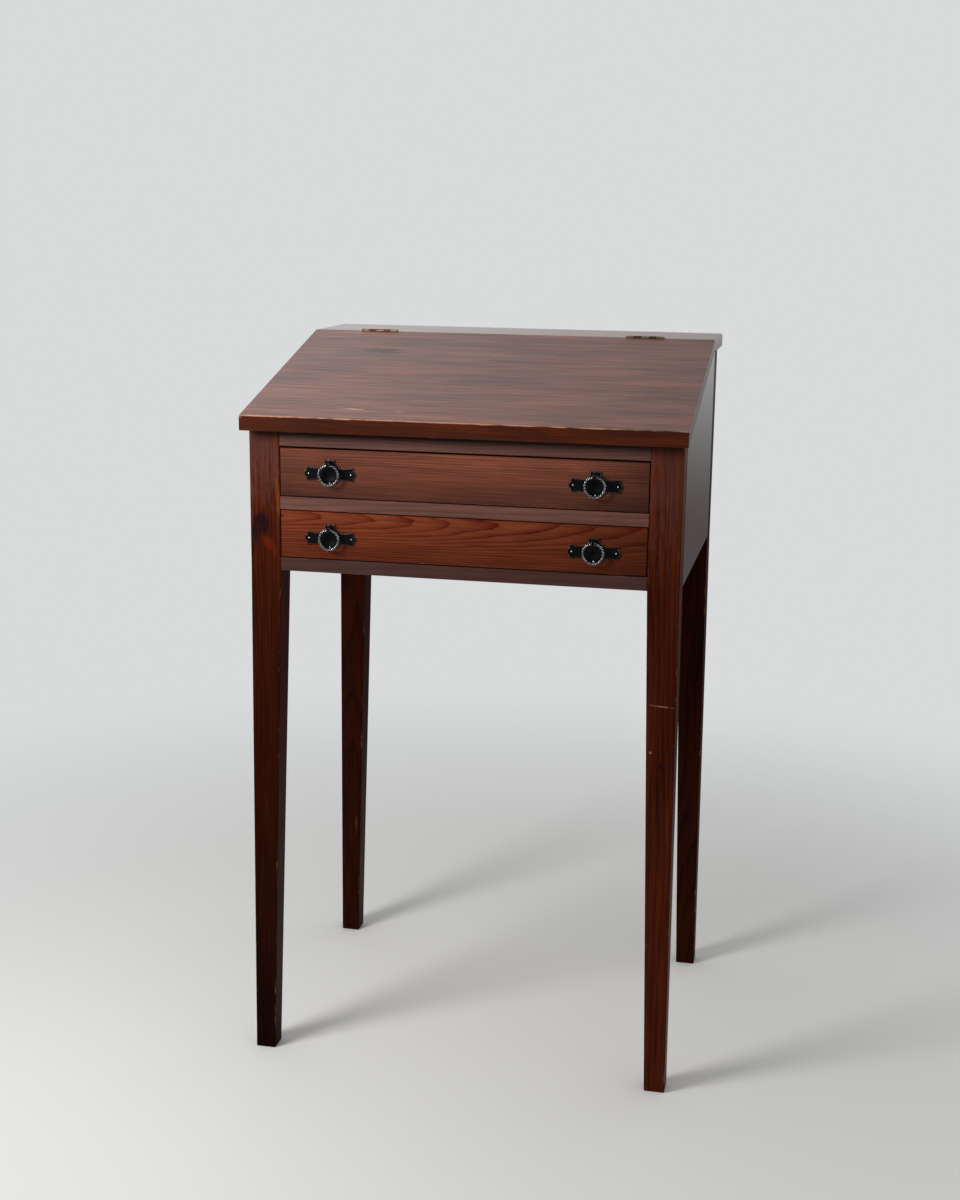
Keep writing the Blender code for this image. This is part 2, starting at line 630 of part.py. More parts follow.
def plate_outline():
    """Front view of a pull's plate: strap with fishtail ends, round disc, and an ear with three points."""
    disc = DISC_DIAMETER / 2
    waist = PLATE_WAIST / 2
    flare = PLATE_FLARE / 2
    corner = PLATE_LENGTH / 2 - FISHTAIL_TONGUE
    narrow = corner - FISHTAIL_LENGTH
    strap_angle = math.degrees(math.asin(waist / disc))
    ear_angle = math.degrees(math.acos(EAR_WIDTH / 2 / disc))
    tip = corner + FISHTAIL_TONGUE
    shares = [step / BEND_STEPS for step in range(BEND_STEPS + 1)]
    edge = [(narrow + FISHTAIL_LENGTH * t, waist + (flare - waist) * t * t) for t in shares]
    edge += [(corner + FISHTAIL_SHOULDER, flare / 2), (tip - FISHTAIL_TIP_ROUND, FISHTAIL_TIP_HEIGHT / 2)]
    right = arc((0.0, 0.0), disc, -90, -strap_angle, 2 * BEND_STEPS)
    right += [(x, -z) for x, z in edge]
    right.append((tip, 0.0))
    right += reversed(edge)
    right += arc((0.0, 0.0), disc, strap_angle, ear_angle, BEND_STEPS)
    right.append((EAR_WIDTH / 2, ear_height))
    right.append((EAR_WIDTH / 4, ear_height - EAR_NOTCH))
    left = [(-x, z) for x, z in reversed(right[1:])]
    return right + [(0.0, ear_height)] + left


def dish(place):
    """Cutter for the shallow dish in a plate's disc, turned about an axis along Y."""
    radius = DISH_DIAMETER / 2
    sphere = (radius * radius + DISH_DEPTH * DISH_DEPTH) / (2 * DISH_DEPTH)
    opening = math.degrees(math.asin(radius / sphere))
    profile = arc((0.0, DISH_DEPTH - sphere), sphere, 90, 90 - opening, BEND_STEPS)
    profile += [(radius, -OVERCUT), (0.0, -OVERCUT)]
    shape = bmesh.new()
    verts = [shape.verts.new((place.x + r, plate_face + depth, place.z)) for r, depth in profile]
    edges = [shape.edges.new(pair) for pair in zip(verts, verts[1:])]
    bmesh.ops.spin(shape, geom=verts + edges, cent=place, axis=(0.0, 1.0, 0.0), angle=math.tau,
                   steps=2 * ROUND_STEPS, use_merge=True)
    bmesh.ops.remove_doubles(shape, verts=shape.verts, dist=WELD)
    bmesh.ops.recalc_face_normals(shape, faces=shape.faces)
    return shape


def make_plate(name, place, carrier):
    """The nailed plate behind a ring."""
    outline = [(place.x + x, place.z + z) for x, z in plate_outline()]
    shape = prism(outline, "Y", plate_face, plate_face + PLATE_THICKNESS)
    soften(shape, PLATE_CHAMFER, 1, lambda a, b: max(a.y, b.y) < plate_face + PLATE_CHAMFER)
    plate = piece(f"{name}_pull_plate", shape, wrought_iron, carrier, place)
    legs = [staple_leg(place.x, place.z, upper, FIT) for upper in (False, True)]
    combine(plate, together(legs), "DIFFERENCE")
    combine(plate, dish(place - Vector((0.0, 0.0, RING_DROP))), "DIFFERENCE")


def make_staple(name, place, carrier):
    """The bent staple that holds a ring, its legs driven through the plate into the drawer front."""
    low = place.z + staple_bottom
    high = low + staple_height
    end = leg_front + STAPLE_DEPTH
    outer_bend = STAPLE_BEND + STAPLE_WALL
    bend = ring_plane - RING_BAR / 2 - STAPLE_CLEARANCE + STAPLE_BEND
    outline = [(end, low)]
    outline += reversed(arc((bend, low + outer_bend), outer_bend, 180, 270, BEND_STEPS))
    outline += reversed(arc((bend, high - outer_bend), outer_bend, 90, 180, BEND_STEPS))
    outline += [(end, high), (end, high - STAPLE_WALL)]
    outline += arc((bend, high - outer_bend), STAPLE_BEND, 90, 180, BEND_STEPS)
    outline += arc((bend, low + outer_bend), STAPLE_BEND, 180, 270, BEND_STEPS)
    outline.append((end, low + STAPLE_WALL))
    shape = prism(outline, "X", place.x - STAPLE_WIDTH / 2, place.x + STAPLE_WIDTH / 2)
    shade_round(piece(f"{name}_pull_staple", shape, wrought_iron, carrier, place))


def make_ring(name, carrier):
    """A square bar, twisted and bent to a ring, which hangs from its carrier's axis."""
    centre = world_place(carrier) - Vector((0.0, 0.0, ring_radius))
    sections = []
    for station in range(RING_STATIONS):
        turn = math.tau * station / RING_STATIONS
        outward = Vector((math.sin(turn), 0.0, math.cos(turn)))
        corners = []
        for quarter in range(4):
            twist = turn * RING_TWISTS + quarter * math.pi / 2
            offset = outward * math.cos(twist) + Vector((0.0, math.sin(twist), 0.0))
            corners.append(centre + outward * ring_radius + offset * RING_BAR / 2)
        sections.append(corners)
    shade_round(piece(f"{name}_pull_ring", skin(sections, closed=True), wrought_iron, carrier))


def make_pull(name, place, carrier):
    """A pull: plate, staple and the ring that swings in it."""
    make_plate(name, place, carrier)
    make_staple(name, place, carrier)
    pivot = Vector((place.x, ring_plane, place.z + eye_rise))
    make_ring(name, marker(f"{name}_ring_joint", pivot, carrier))


def build_desk():
    """Every piece, from the legs up."""
    rails = [(case_bottom, lower_sill, rail_back),
             (lower_sill + LOWER_OPENING, upper_sill, rail_back),
             (top_rail_bottom, case_top(leg_front), top_rail_back - HOUSING_DEPTH)]
    make_legs(rails)
    make_panels()
    make_rails(rails)
    make_floor()
    make_runners()
    make_rear_board()
    lid_joint = marker("lid_joint", hinge_axis, desk)
    make_lid(lid_joint)
    for side, name in ((-1, "left"), (1, "right")):
        make_hinge(side, name, lid_joint)
    for level, sill, opening, top_gap, drop in (
            ("lower", lower_sill, LOWER_OPENING, DRAWER_GAP, LOWER_PULL_DROP),
            ("upper", upper_sill, UPPER_OPENING, UPPER_TOP_GAP, 0.0)):
        front_top = sill + opening - top_gap
        pull_height = (sill + DRAWER_GAP + front_top) / 2 - drop
        slide = marker(f"{level}_drawer_joint", Vector((0.0, leg_front, pull_height)), desk)
        make_drawer(level, sill, front_top, pull_height, slide)


clear_scene()
stained_pine = finish("stained_pine", (0.075, 0.022, 0.014), 0.42, 0.0)
drawer_front_pine = finish("drawer_front_pine", (0.12, 0.032, 0.016), 0.4, 0.0)
bare_pine = finish("bare_pine", (0.42, 0.25, 0.12), 0.7, 0.0)
wrought_iron = finish("wrought_iron", (0.012, 0.012, 0.013), 0.5, 0.9)
brass = finish("brass", (0.35, 0.23, 0.08), 0.45, 1.0)
desk = marker("desk", Vector())
build_desk()
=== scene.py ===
"""Looks of a slant-top standing desk: stained and bare pine, blackened iron and tarnished brass.

Laid out as an add-on and run as a script. Lengths are in metres, or in millimetres where a name ends in _mm
or a comment says so.
"""
import json
import math

import bmesh
import bpy
from bpy.props import FloatProperty, FloatVectorProperty, IntProperty, PointerProperty
from mathutils import Matrix, Vector


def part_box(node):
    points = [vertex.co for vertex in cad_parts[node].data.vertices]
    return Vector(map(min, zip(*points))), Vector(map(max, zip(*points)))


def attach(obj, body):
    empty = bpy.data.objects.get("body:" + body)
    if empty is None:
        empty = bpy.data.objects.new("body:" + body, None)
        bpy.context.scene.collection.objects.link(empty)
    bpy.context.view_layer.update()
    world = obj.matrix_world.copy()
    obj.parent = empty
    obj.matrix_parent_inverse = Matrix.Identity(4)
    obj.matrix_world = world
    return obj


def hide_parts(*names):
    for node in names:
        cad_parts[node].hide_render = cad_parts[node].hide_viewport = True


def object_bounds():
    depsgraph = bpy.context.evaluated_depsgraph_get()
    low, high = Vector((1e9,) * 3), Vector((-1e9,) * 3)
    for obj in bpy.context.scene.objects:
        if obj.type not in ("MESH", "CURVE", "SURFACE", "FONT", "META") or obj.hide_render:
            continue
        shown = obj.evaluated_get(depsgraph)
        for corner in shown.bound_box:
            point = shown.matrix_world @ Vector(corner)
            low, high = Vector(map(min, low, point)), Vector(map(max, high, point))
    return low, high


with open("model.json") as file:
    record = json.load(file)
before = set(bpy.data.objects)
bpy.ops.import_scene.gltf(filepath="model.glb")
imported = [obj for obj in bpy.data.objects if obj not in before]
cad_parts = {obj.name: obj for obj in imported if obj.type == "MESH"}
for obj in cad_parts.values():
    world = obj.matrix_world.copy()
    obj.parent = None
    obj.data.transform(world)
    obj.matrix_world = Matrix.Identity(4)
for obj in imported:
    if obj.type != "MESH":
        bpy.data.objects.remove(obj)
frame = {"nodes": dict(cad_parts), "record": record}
cad_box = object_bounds()

bl_info = {
    "name": "Standing Desk Finish",
    "version": (1, 0, 0),
    "blender": (4, 5, 0),
    "location": "View3D > Sidebar > Desk",
    "description": "Finishes and lights a slant-top standing desk",
    "category": "Material",
}

MM = 0.001
RIGHT = Vector((1.0, 0.0, 0.0))
BACK = Vector((0.0, 1.0, 0.0))
UP = Vector((0.0, 0.0, 1.0))
SIDES = (("left", -1), ("right", 1))
LEVELS = ("upper", "lower")
PULLS = [f"{level}_{side}" for level in LEVELS for side, _ in SIDES]

# Steps of the spin in each full twist of a ring's bar
TWIST_STEPS = 24

# Angle from which an edge is shaded as a sharp one
SHARP = math.radians(35)

# Sockets of a Mix node by number, because those for numbers and those for colours share their names
SHARE = 0
NUMBER_A, NUMBER_B, NUMBER_OUT = 2, 3, 0
COLOUR_A, COLOUR_B, COLOUR_OUT = 6, 7, 2

# Settings of a Mix node that lays one colour over another, and of one that multiplies two
LAY = {"data_type": "RGBA"}
MULTIPLY = {"data_type": "RGBA", "blend_type": "MULTIPLY"}

# Nearly all of a noise lies between these
NOISE_SPAN = {"From Min": 0.3, "From Max": 0.7}

# Unevenness of a board: its use, its size along and across the grain in millimetres, and its detail. Real
# fibres are finer, and are drawn as coarse as they need to be to show.
UNEVENNESS = (
    ("wander", 420.0, 75.0, 1.5),
    ("ragged", 70.0, 9.0, 2.0),
    ("patch", 190.0, 30.0, 3.0),
    ("streak", 120.0, 2.6, 3.0),
    ("fibre", 38.0, 1.3, 3.0),
    ("broken", 26.0, 6.0, 3.0),
)

# Share of late wood across one ring: it thickens slowly and ends at once
LATE_WOOD = ((0.0, 0.0), (0.38, 0.06), (0.74, 0.5), (0.93, 1.0), (1.0, 0.0))


def linear(code):
    """Linear red, green and blue of an sRGB hex code."""
    shares = [int(code[at:at + 2], 16) / 255 for at in (0, 2, 4)]
    return tuple(s / 12.92 if s <= 0.04045 else ((s + 0.055) / 1.055) ** 2.4 for s in shares)


def colour(name, code, description):
    """A colour that a user can change, with its default as an sRGB hex code."""
    return FloatVectorProperty(name=name, description=description, default=linear(code), size=3,
                               min=0.0, max=1.0, subtype="COLOR")


def length(name, default, description):
    """A length that a user can change, in metres."""
    return FloatProperty(name=name, description=description, default=default, min=0.0,
                         precision=5, subtype="DISTANCE", unit="LENGTH")


def angle(name, degrees, description):
    """An angle that a user can change, with its default in degrees."""
    return FloatProperty(name=name, description=description, default=math.radians(degrees),
                         subtype="ANGLE", unit="ROTATION")


def brightness(name, default, description):
    """A strength of light that a user can change."""
    return FloatProperty(name=name, description=description, default=default, min=0.0)


class DESK_PG_colours(bpy.types.PropertyGroup):
    """Colours of the desk's finishes."""
    top_light: colour("Top, early wood", "7C4836", "Pale bands of the lid and the rear board")
    top_dark: colour("Top, late wood", "4A241B", "Dark bands of the lid and the rear board")
    rail_light: colour("Rails, early wood", "825142", "Pale bands of the top and middle rails")
    rail_dark: colour("Rails, late wood", "57322A", "Dark bands of the top and middle rails")
    low_rail_light: colour("Bottom rail, early wood", "4C2A23", "Pale bands of the bottom rail")
    low_rail_dark: colour("Bottom rail, late wood", "301713", "Dark bands of the bottom rail")
    upper_front_light: colour("Upper front, early wood", "97553D", "Pale bands of the upper drawer front")
    upper_front_dark: colour("Upper front, late wood", "682D1F", "Dark bands of the upper drawer front")
    lower_front_light: colour("Lower front, early wood", "8C4428", "Pale bands of the lower drawer front")
    lower_front_dark: colour("Lower front, late wood", "580F05", "Dark bands of the lower drawer front")
    leg_light: colour("Legs, early wood", "6A2C18", "Pale bands of the legs")
    leg_dark: colour("Legs, late wood", "380F04", "Dark bands of the legs")
    panel_light: colour("Panels, early wood", "6A3C28", "Pale bands of the side and back panels")
    panel_dark: colour("Panels, late wood", "331710", "Dark bands of the side and back panels")
    edge: colour("Edge", "B28253", "How the stain deepens on the lid's nose")
    # The bloom colour also paints sheen on the tops of the front legs
    bloom: colour("Dulled stain", "634C48", "Grey bloom that lies over the stain in patches")
    worn: colour("Worn stain", "D69C7C", "Wood that shows where the stain is rubbed off")
    scuffed: colour("Scuffed stain", "94503C", "Stain that is rubbed thin but not through")
    amber: colour("Thin stain", "A0501F", "Resinous wood round a knot, where the stain is thin")
    ember: colour("Heart wood", "7A2810", "Red wood that trails from a knot")
    knot: colour("Knot", "1C1214", "Knots under the stain")
    bare_light: colour("Bare wood, early", "C9A677", "Pale bands of the unstained boards")
    bare_dark: colour("Bare wood, late", "9C7043", "Dark bands of the unstained boards")
    iron: colour("Iron", "0D0E11", "Blackened iron")
    iron_rubbed: colour("Rubbed iron", "141518", "Iron of the rings, which hands keep clean")
    iron_worn: colour("Worn iron", "F0F2F4", "Iron rubbed bright on the ridges")
    nail: colour("Nail heads", "E2E4E6", "Bright steel of the nail heads")
    brass: colour("Brass", "A08A70", "Brass of the hinge leaves on the board")
    brass_brown: colour("Browned brass", "6A4632", "Brass of the hinge leaves on the lid")
    tarnish: colour("Tarnish", "3A2C20", "Tarnish on the brass")
    floor: colour("Floor", "F6F5F2", "Studio floor")
    room: colour("Room", "F9FBFC", "Light of the room and its background")


class DESK_PG_sizes(bpy.types.PropertyGroup):
    """Sizes of the pieces that are added, and of the wear."""
    nail_head: length("Nail head", 0.0024, "Diameter of the nail heads on the pulls")
    nail_rise: length("Nail rise", 0.0008, "Height of the nail heads over the plate")
    nail_spread: length("Nail spread", 0.032, "Strap nails from the middle of the plate")
    nail_drop: length("Nail drop", 0.0133, "Disc nail below the line of the strap nails")
    ring_drop: length("Ring drop", 0.001, "Ring's middle below the line of the strap nails")
    ring_ease: length("Ring's corners", 0.0006, "How far the corners of the rings' twisted bar are eased")
    ring_twists: IntProperty(name="Ring's twists", description="Full twists of the bar round a ring",
                             default=5, min=1, max=12)
    screw_head: length("Screw head", 0.0052, "Diameter of the hinge screws' heads")
    screw_rise: length("Screw rise", 0.00012, "Height of the screw heads over the leaf")
    screw_slot: length("Screw slot", 0.0008, "Width of the screws' slots")
    screw_spread: length("Screw spread", 0.020, "Outer screws from the middle of the leaf")
    screws: IntProperty(name="Screws", description="Screws in each hinge leaf", default=3, min=1, max=5)
    wear: length("Wear", 0.0022, "Reach of the wear in from an edge")


class DESK_PG_studio(bpy.types.PropertyGroup):
    """The camera at the photographed angle, and the light."""
    lens: FloatProperty(name="Lens", description="Focal length",
                        default=51.394, subtype="DISTANCE_CAMERA", unit="CAMERA")
    sensor: FloatProperty(name="Sensor", description="Width of the camera's sensor",
                          default=36.0, subtype="DISTANCE_CAMERA", unit="CAMERA")
    place: FloatVectorProperty(name="Place", description="Where the camera stands", size=3,
                               default=(0.5401, -2.60375, 1.2909), subtype="XYZ", unit="LENGTH")
    yaw: angle("Yaw", 12.1755, "Turn to the left of straight ahead")
    pitch: angle("Pitch", 12.7327, "Tilt below the horizon")
    roll: angle("Roll", 0.6776, "Turn about the line of sight")
    key: FloatProperty(name="Key light", description="Power of the soft key light",
                       default=23.5, min=0.0, unit="POWER")
    key_place: FloatVectorProperty(name="Key place", description="Where the key light hangs", size=3,
                                   default=(-1.2, -1.3, 1.6), subtype="XYZ", unit="LENGTH")
    key_width: length("Key width", 0.7, "Width of the soft key light")
    sky: brightness("Fill", 0.52, "Even light from above")
    low: brightness("Low fill", 0.06, "Even light from below the horizon")
    backdrop: brightness("Backdrop", 0.73, "Brightness of the background")
    glow: brightness("Windows", 1.75, "Brightness of the windows that the varnish reflects")
    gloom: brightness("Dark side", 0.12, "Brightness of the rest of the room, as the varnish reflects it")
    floor_near: length("Floor", 0.4, "How far the floor lies plain round the desk")
    floor_far: length("Floor's end", 2.1, "How far off the floor has faded into the background")


def colours():
    """The colours as they are set."""
    return bpy.context.scene.desk_colours


def sizes():
    """The sizes as they are set."""
    return bpy.context.scene.desk_sizes


def feed(tree, node, inputs):
    """Give a node its inputs by socket: an output of another node is linked, and a value is set."""
    for socket, value in inputs.items():
        if isinstance(value, bpy.types.NodeSocket):
            tree.links.new(value, node.inputs[socket])
        else:
            node.inputs[socket].default_value = value


def add(tree, kind, inputs=None, stops=(), **settings):
    """Add a node with its settings, its inputs and, on a ramp, its stops in grey. Give its outputs."""
    node = tree.nodes.new(kind)
    for name, value in settings.items():
        setattr(node, name, value)
    feed(tree, node, inputs or {})
    for index, (place, level) in enumerate(stops):
        ramp = node.color_ramp.elements
        stop = ramp[index] if index < len(ramp) else ramp.new(place)
        stop.position = place
        stop.color = (level, level, level, 1.0)
    return node.outputs


def opaque(shade):
    """A colour with full alpha, as colour sockets want it."""
    return (*shade[:3], 1.0)


def blank(name):
    """A new material with its node tree and its Principled shader."""
    material = bpy.data.materials.new(name)
    material.use_nodes = True
    return material, material.node_tree, material.node_tree.nodes["Principled BSDF"]


def middle(node):
    """Middle of the box round a node of the frame."""
    low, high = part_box(node)
    return (low + high) / 2


def board_turn(grain, face):
    """Turn of a board whose own X runs along the grain and whose own Z points out of its face."""
    across = face.cross(grain)
    return Matrix((grain, across, face)).transposed().to_euler()


def near_edges(tree, reach, samples):
    """A normal with rounded edges, and how well the face agrees with it: 1 on the flat, less by an edge."""
    rounded = add(tree, "ShaderNodeBevel", {"Radius": reach}, samples=samples)[0]
    flat = add(tree, "ShaderNodeNewGeometry")["Normal"]
    facing = add(tree, "ShaderNodeVectorMath", {0: rounded, 1: flat}, operation="DOT_PRODUCT")["Value"]
    return rounded, facing


def unevenness(tree, local, seed):
    """Unevenness of the log, of the saw and of the stain, by its use, all drawn out along the grain."""
    # No two noises of a board may line up, so each is cut from another place
    apart = 4.3
    noises = {}
    for index, (use, along_mm, across_mm, detail) in enumerate(UNEVENNESS):
        shift = seed + apart * index
        stretched = add(tree, "ShaderNodeMapping", {
            "Vector": local, "Location": (shift, -shift, 2.0 * shift),
            "Scale": (1 / along_mm, 1 / across_mm, 1 / across_mm)})[0]
        noises[use] = add(tree, "ShaderNodeTexNoise", {
            "Vector": stretched, "Scale": 1.0, "Detail": detail, "Roughness": 0.55})
    return noises


def growth_rings(tree, local, noises, figure, knots):
    """Late wood: its rings drift along the board, are a little ragged up close and swell round a knot."""
    spacing_mm, pith_across_mm, pith_behind_mm, tilt = figure
    pith_place = Vector((0.0, pith_across_mm, -pith_behind_mm))
    grown = local
    for use, sway_mm in (("wander", 22.0), ("ragged", 2.4)):
        sway = Vector((0.0, sway_mm, sway_mm))
        grown = add(tree, "ShaderNodeVectorMath", {0: noises[use]["Color"], 1: sway, 2: grown},
                    operation="MULTIPLY_ADD")[0]
        pith_place += sway / 2

    # A knot is twice as long as wide and goes right through, and lifts the rings up to three widths away
    knot_through_mm = 1000.0
    knot_lift_mm = 9.0
    for along_mm, across_mm, width_mm in knots:
        near = add(tree, "ShaderNodeMapping", {
            "Vector": local, "Location": (along_mm, across_mm, 0.0),
            "Scale": (width_mm * 2.0, width_mm, knot_through_mm)}, vector_type="TEXTURE")[0]
        away = add(tree, "ShaderNodeVectorMath", {0: near}, operation="LENGTH")["Value"]
        swell = add(tree, "ShaderNodeMapRange", {
            "Value": away, "From Min": 0.0, "From Max": 3.0, "To Min": knot_lift_mm, "To Max": 0.0},
            interpolation_type="SMOOTHSTEP")["Result"]
        lift = add(tree, "ShaderNodeCombineXYZ", {"Z": swell})[0]
        grown = add(tree, "ShaderNodeVectorMath", {0: grown, 1: lift}, operation="ADD")[0]

    # A wave texture of scale 1 turns by 20 radians in each unit, and one ring is a full turn
    wave_turn = 20.0
    pith = add(tree, "ShaderNodeMapping", {
        "Vector": grown, "Location": pith_place,
        "Rotation": (0.0, math.radians(tilt), math.radians(tilt / 3))}, vector_type="TEXTURE")[0]
    rings = add(tree, "ShaderNodeTexWave", {"Vector": pith, "Scale": math.tau / (wave_turn * spacing_mm)},
                wave_type="RINGS", rings_direction="X", wave_profile="SAW")["Fac"]
    return add(tree, "ShaderNodeValToRGB", {"Fac": rings}, stops=LATE_WOOD)["Color"]


def rub_edges(tree, wood, noises, wear):
    """Wood whose sharp edges have lost their stain where they are touched, in broken stretches."""
    rubbed, reach = wear
    facing = near_edges(tree, sizes().wear, 4)[1]
    begins, full = 0.995, 0.9
    arris = add(tree, "ShaderNodeMapRange", {
        "Value": facing, "From Min": begins, "From Max": full, "To Min": 0.0, "To Max": rubbed},
        interpolation_type="SMOOTHSTEP")["Result"]
    broken = add(tree, "ShaderNodeMapRange", {
        "Value": noises["broken"]["Fac"], "From Min": 0.62 - reach, "From Max": 0.78 - reach},
        interpolation_type="SMOOTHSTEP")["Result"]
    worn = add(tree, "ShaderNodeMath", {0: arris, 1: broken}, operation="MULTIPLY")[0]
    return add(tree, "ShaderNodeMix", {SHARE: worn, COLOUR_A: wood, COLOUR_B: opaque(colours().worn)},
               **LAY)[COLOUR_OUT]


def leave_marks(tree, wood, local, noises, marks):
    """Wood with the scratches, nicks, rubbed edges and knots that have their own place, all ragged."""
    # Shares of a mark's half lengths: how deep its ragged outline cuts in, and how far out it is solid
    cut_in = 0.55
    solid = 0.4
    for spot, halves, turn, depth, shade in marks:
        near = add(tree, "ShaderNodeMapping", {
            "Vector": local, "Location": spot, "Rotation": (0.0, 0.0, math.radians(turn)), "Scale": halves},
            vector_type="TEXTURE")[0]
        away = add(tree, "ShaderNodeVectorMath", {0: near}, operation="LENGTH")["Value"]
        ragged = add(tree, "ShaderNodeMapRange", {
            "Value": noises["broken"]["Fac"], "From Min": 0.3, "From Max": 0.6,
            "To Min": cut_in, "To Max": 0.0})["Result"]
        away = add(tree, "ShaderNodeMath", {0: away, 1: ragged}, operation="ADD")[0]
        mark = add(tree, "ShaderNodeMapRange", {
            "Value": away, "From Min": solid, "From Max": 1.0, "To Min": depth, "To Max": 0.0},
            interpolation_type="SMOOTHSTEP")["Result"]
        wood = add(tree, "ShaderNodeMix", {SHARE: mark, COLOUR_A: wood, COLOUR_B: opaque(shade)},
                   **LAY)[COLOUR_OUT]
    return wood


def pine(name, board, shades, figure, lines=1.0, relief=0.35, patches=0.19, streaks=0.14, dulled=0.0,
         knots=(), wear=None, marks=(), painted_shade=None, edge=None, roughness=0.42, shine=0.3, seed=0.0):
    """Sawn pine, stained and varnished or left bare. Early wood is wide and pale, late wood narrow and dark,
    so every ring is a soft band with one sharp edge, and a cut that nearly follows the rings shows flames.

    board: a place on the board, the way of its grain and the way its face looks
    shades: the pale and the dark bands
    figure: the rings' spacing and the pith's place across and behind the face, in millimetres, and the pith's
        tilt in degrees
    lines: how firmly the late wood shows
    relief: how far the grain stands out
    patches, streaks: how unevenly the stain lies
    dulled: how much grey bloom lies over the stain
    knots: (along, across, width), in millimetres from the board's place
    wear: how far the stain is rubbed off the edges, and how much longer than usual the rubbed stretches are
    marks: (place, halves, turn, depth, shade), in millimetres from the board's place and in degrees
    tones: shade painted on, as shares of the desk's height (Z) or width (X), with how much light is left
    there
    edge: how the stain deepens on the near side of the board's place
    shine: specular level of the varnish
    seed: where the board is cut from its noises
    """
    centre, grain, face = board
    material, tree, shader = blank(name)
    place = add(tree, "ShaderNodeTexCoord")["Object"]
    local = add(tree, "ShaderNodeMapping", {
        "Vector": place, "Location": centre, "Rotation": board_turn(grain, face), "Scale": (MM, MM, MM)},
        vector_type="TEXTURE")[0]
    noises = unevenness(tree, local, seed)
    late = growth_rings(tree, local, noises, figure, knots)

    # Stain lies unevenly: it soaks in by patches, in streaks and along single fibres
    firm = add(tree, "ShaderNodeMapRange", {
        "Value": noises["patch"]["Fac"], **NOISE_SPAN, "To Min": 0.4 * lines, "To Max": lines})["Result"]
    firm = add(tree, "ShaderNodeMath", {0: late, 1: firm}, operation="MULTIPLY")[0]
    wood = add(tree, "ShaderNodeMix", {
        SHARE: firm, COLOUR_A: opaque(shades[0]), COLOUR_B: opaque(shades[1])}, **LAY)[COLOUR_OUT]
    for use, thin, full in (
            ("patch", 1 + patches, 1 - patches), ("streak", 1 + streaks, 1 - streaks), ("fibre", 1.12, 0.82)):
        tint = add(tree, "ShaderNodeMapRange", {
            "Value": noises[use]["Fac"], **NOISE_SPAN, "To Min": thin, "To Max": full})["Result"]
        wood = add(tree, "ShaderNodeMix", {SHARE: 1.0, COLOUR_A: wood, COLOUR_B: tint},
                   **MULTIPLY)[COLOUR_OUT]
    if dulled:
        # The noise's colour has other patches than its value
        bloom = add(tree, "ShaderNodeMapRange", {
            "Value": noises["patch"]["Color"], "From Min": 0.35, "From Max": 0.65,
            "To Min": 0.3 * dulled, "To Max": dulled})["Result"]
        wood = add(tree, "ShaderNodeMix", {
            SHARE: bloom, COLOUR_A: wood, COLOUR_B: opaque(colours().bloom)}, **LAY)[COLOUR_OUT]

    # Painted shade darkens some parts of the desk by height or width, and the stain is deeper on the near
    # side of a board's place
    within = add(tree, "ShaderNodeMapping", {
        "Vector": place, "Location": cad_box[0], "Scale": cad_box[1] - cad_box[0]}, vector_type="TEXTURE")[0]
    share = add(tree, "ShaderNodeSeparateXYZ", {0: within})
    for axis, stops in (painted_shade or {}).items():
        tone = add(tree, "ShaderNodeValToRGB", {"Fac": share[axis]}, stops=stops)["Color"]
        wood = add(tree, "ShaderNodeMix", {SHARE: 1.0, COLOUR_A: wood, COLOUR_B: tone},
                   **MULTIPLY)[COLOUR_OUT]
    if edge:
        begins_mm, full_mm = 1.2, -0.3
        across = add(tree, "ShaderNodeSeparateXYZ", {0: local})["Y"]
        beyond = add(tree, "ShaderNodeMapRange", {
            "Value": across, "From Min": begins_mm, "From Max": full_mm})["Result"]
        wood = add(tree, "ShaderNodeMix", {SHARE: beyond, COLOUR_A: wood, COLOUR_B: opaque(edge)},
                   **MULTIPLY)[COLOUR_OUT]
    if wear:
        wood = rub_edges(tree, wood, noises, wear)
    wood = leave_marks(tree, wood, local, noises, marks)

    # Late wood stands a little proud of the softer early wood, and the fibres show as fine furrows
    furrow = 0.12 * MM
    uneven = 0.2 * relief
    rough = add(tree, "ShaderNodeMapRange", {
        "Value": noises["streak"]["Fac"], "From Min": 0.25, "From Max": 0.75,
        "To Min": roughness - uneven, "To Max": roughness + uneven})["Result"]
    proud = add(tree, "ShaderNodeMath", {0: late, 1: 0.5, 2: noises["fibre"]["Fac"]},
                operation="MULTIPLY_ADD")[0]
    bump = add(tree, "ShaderNodeBump", {"Height": proud, "Strength": relief, "Distance": furrow})[0]
    feed(tree, shader, {
        "Base Color": wood, "Roughness": rough, "Normal": bump, "Specular IOR Level": shine})
    return material


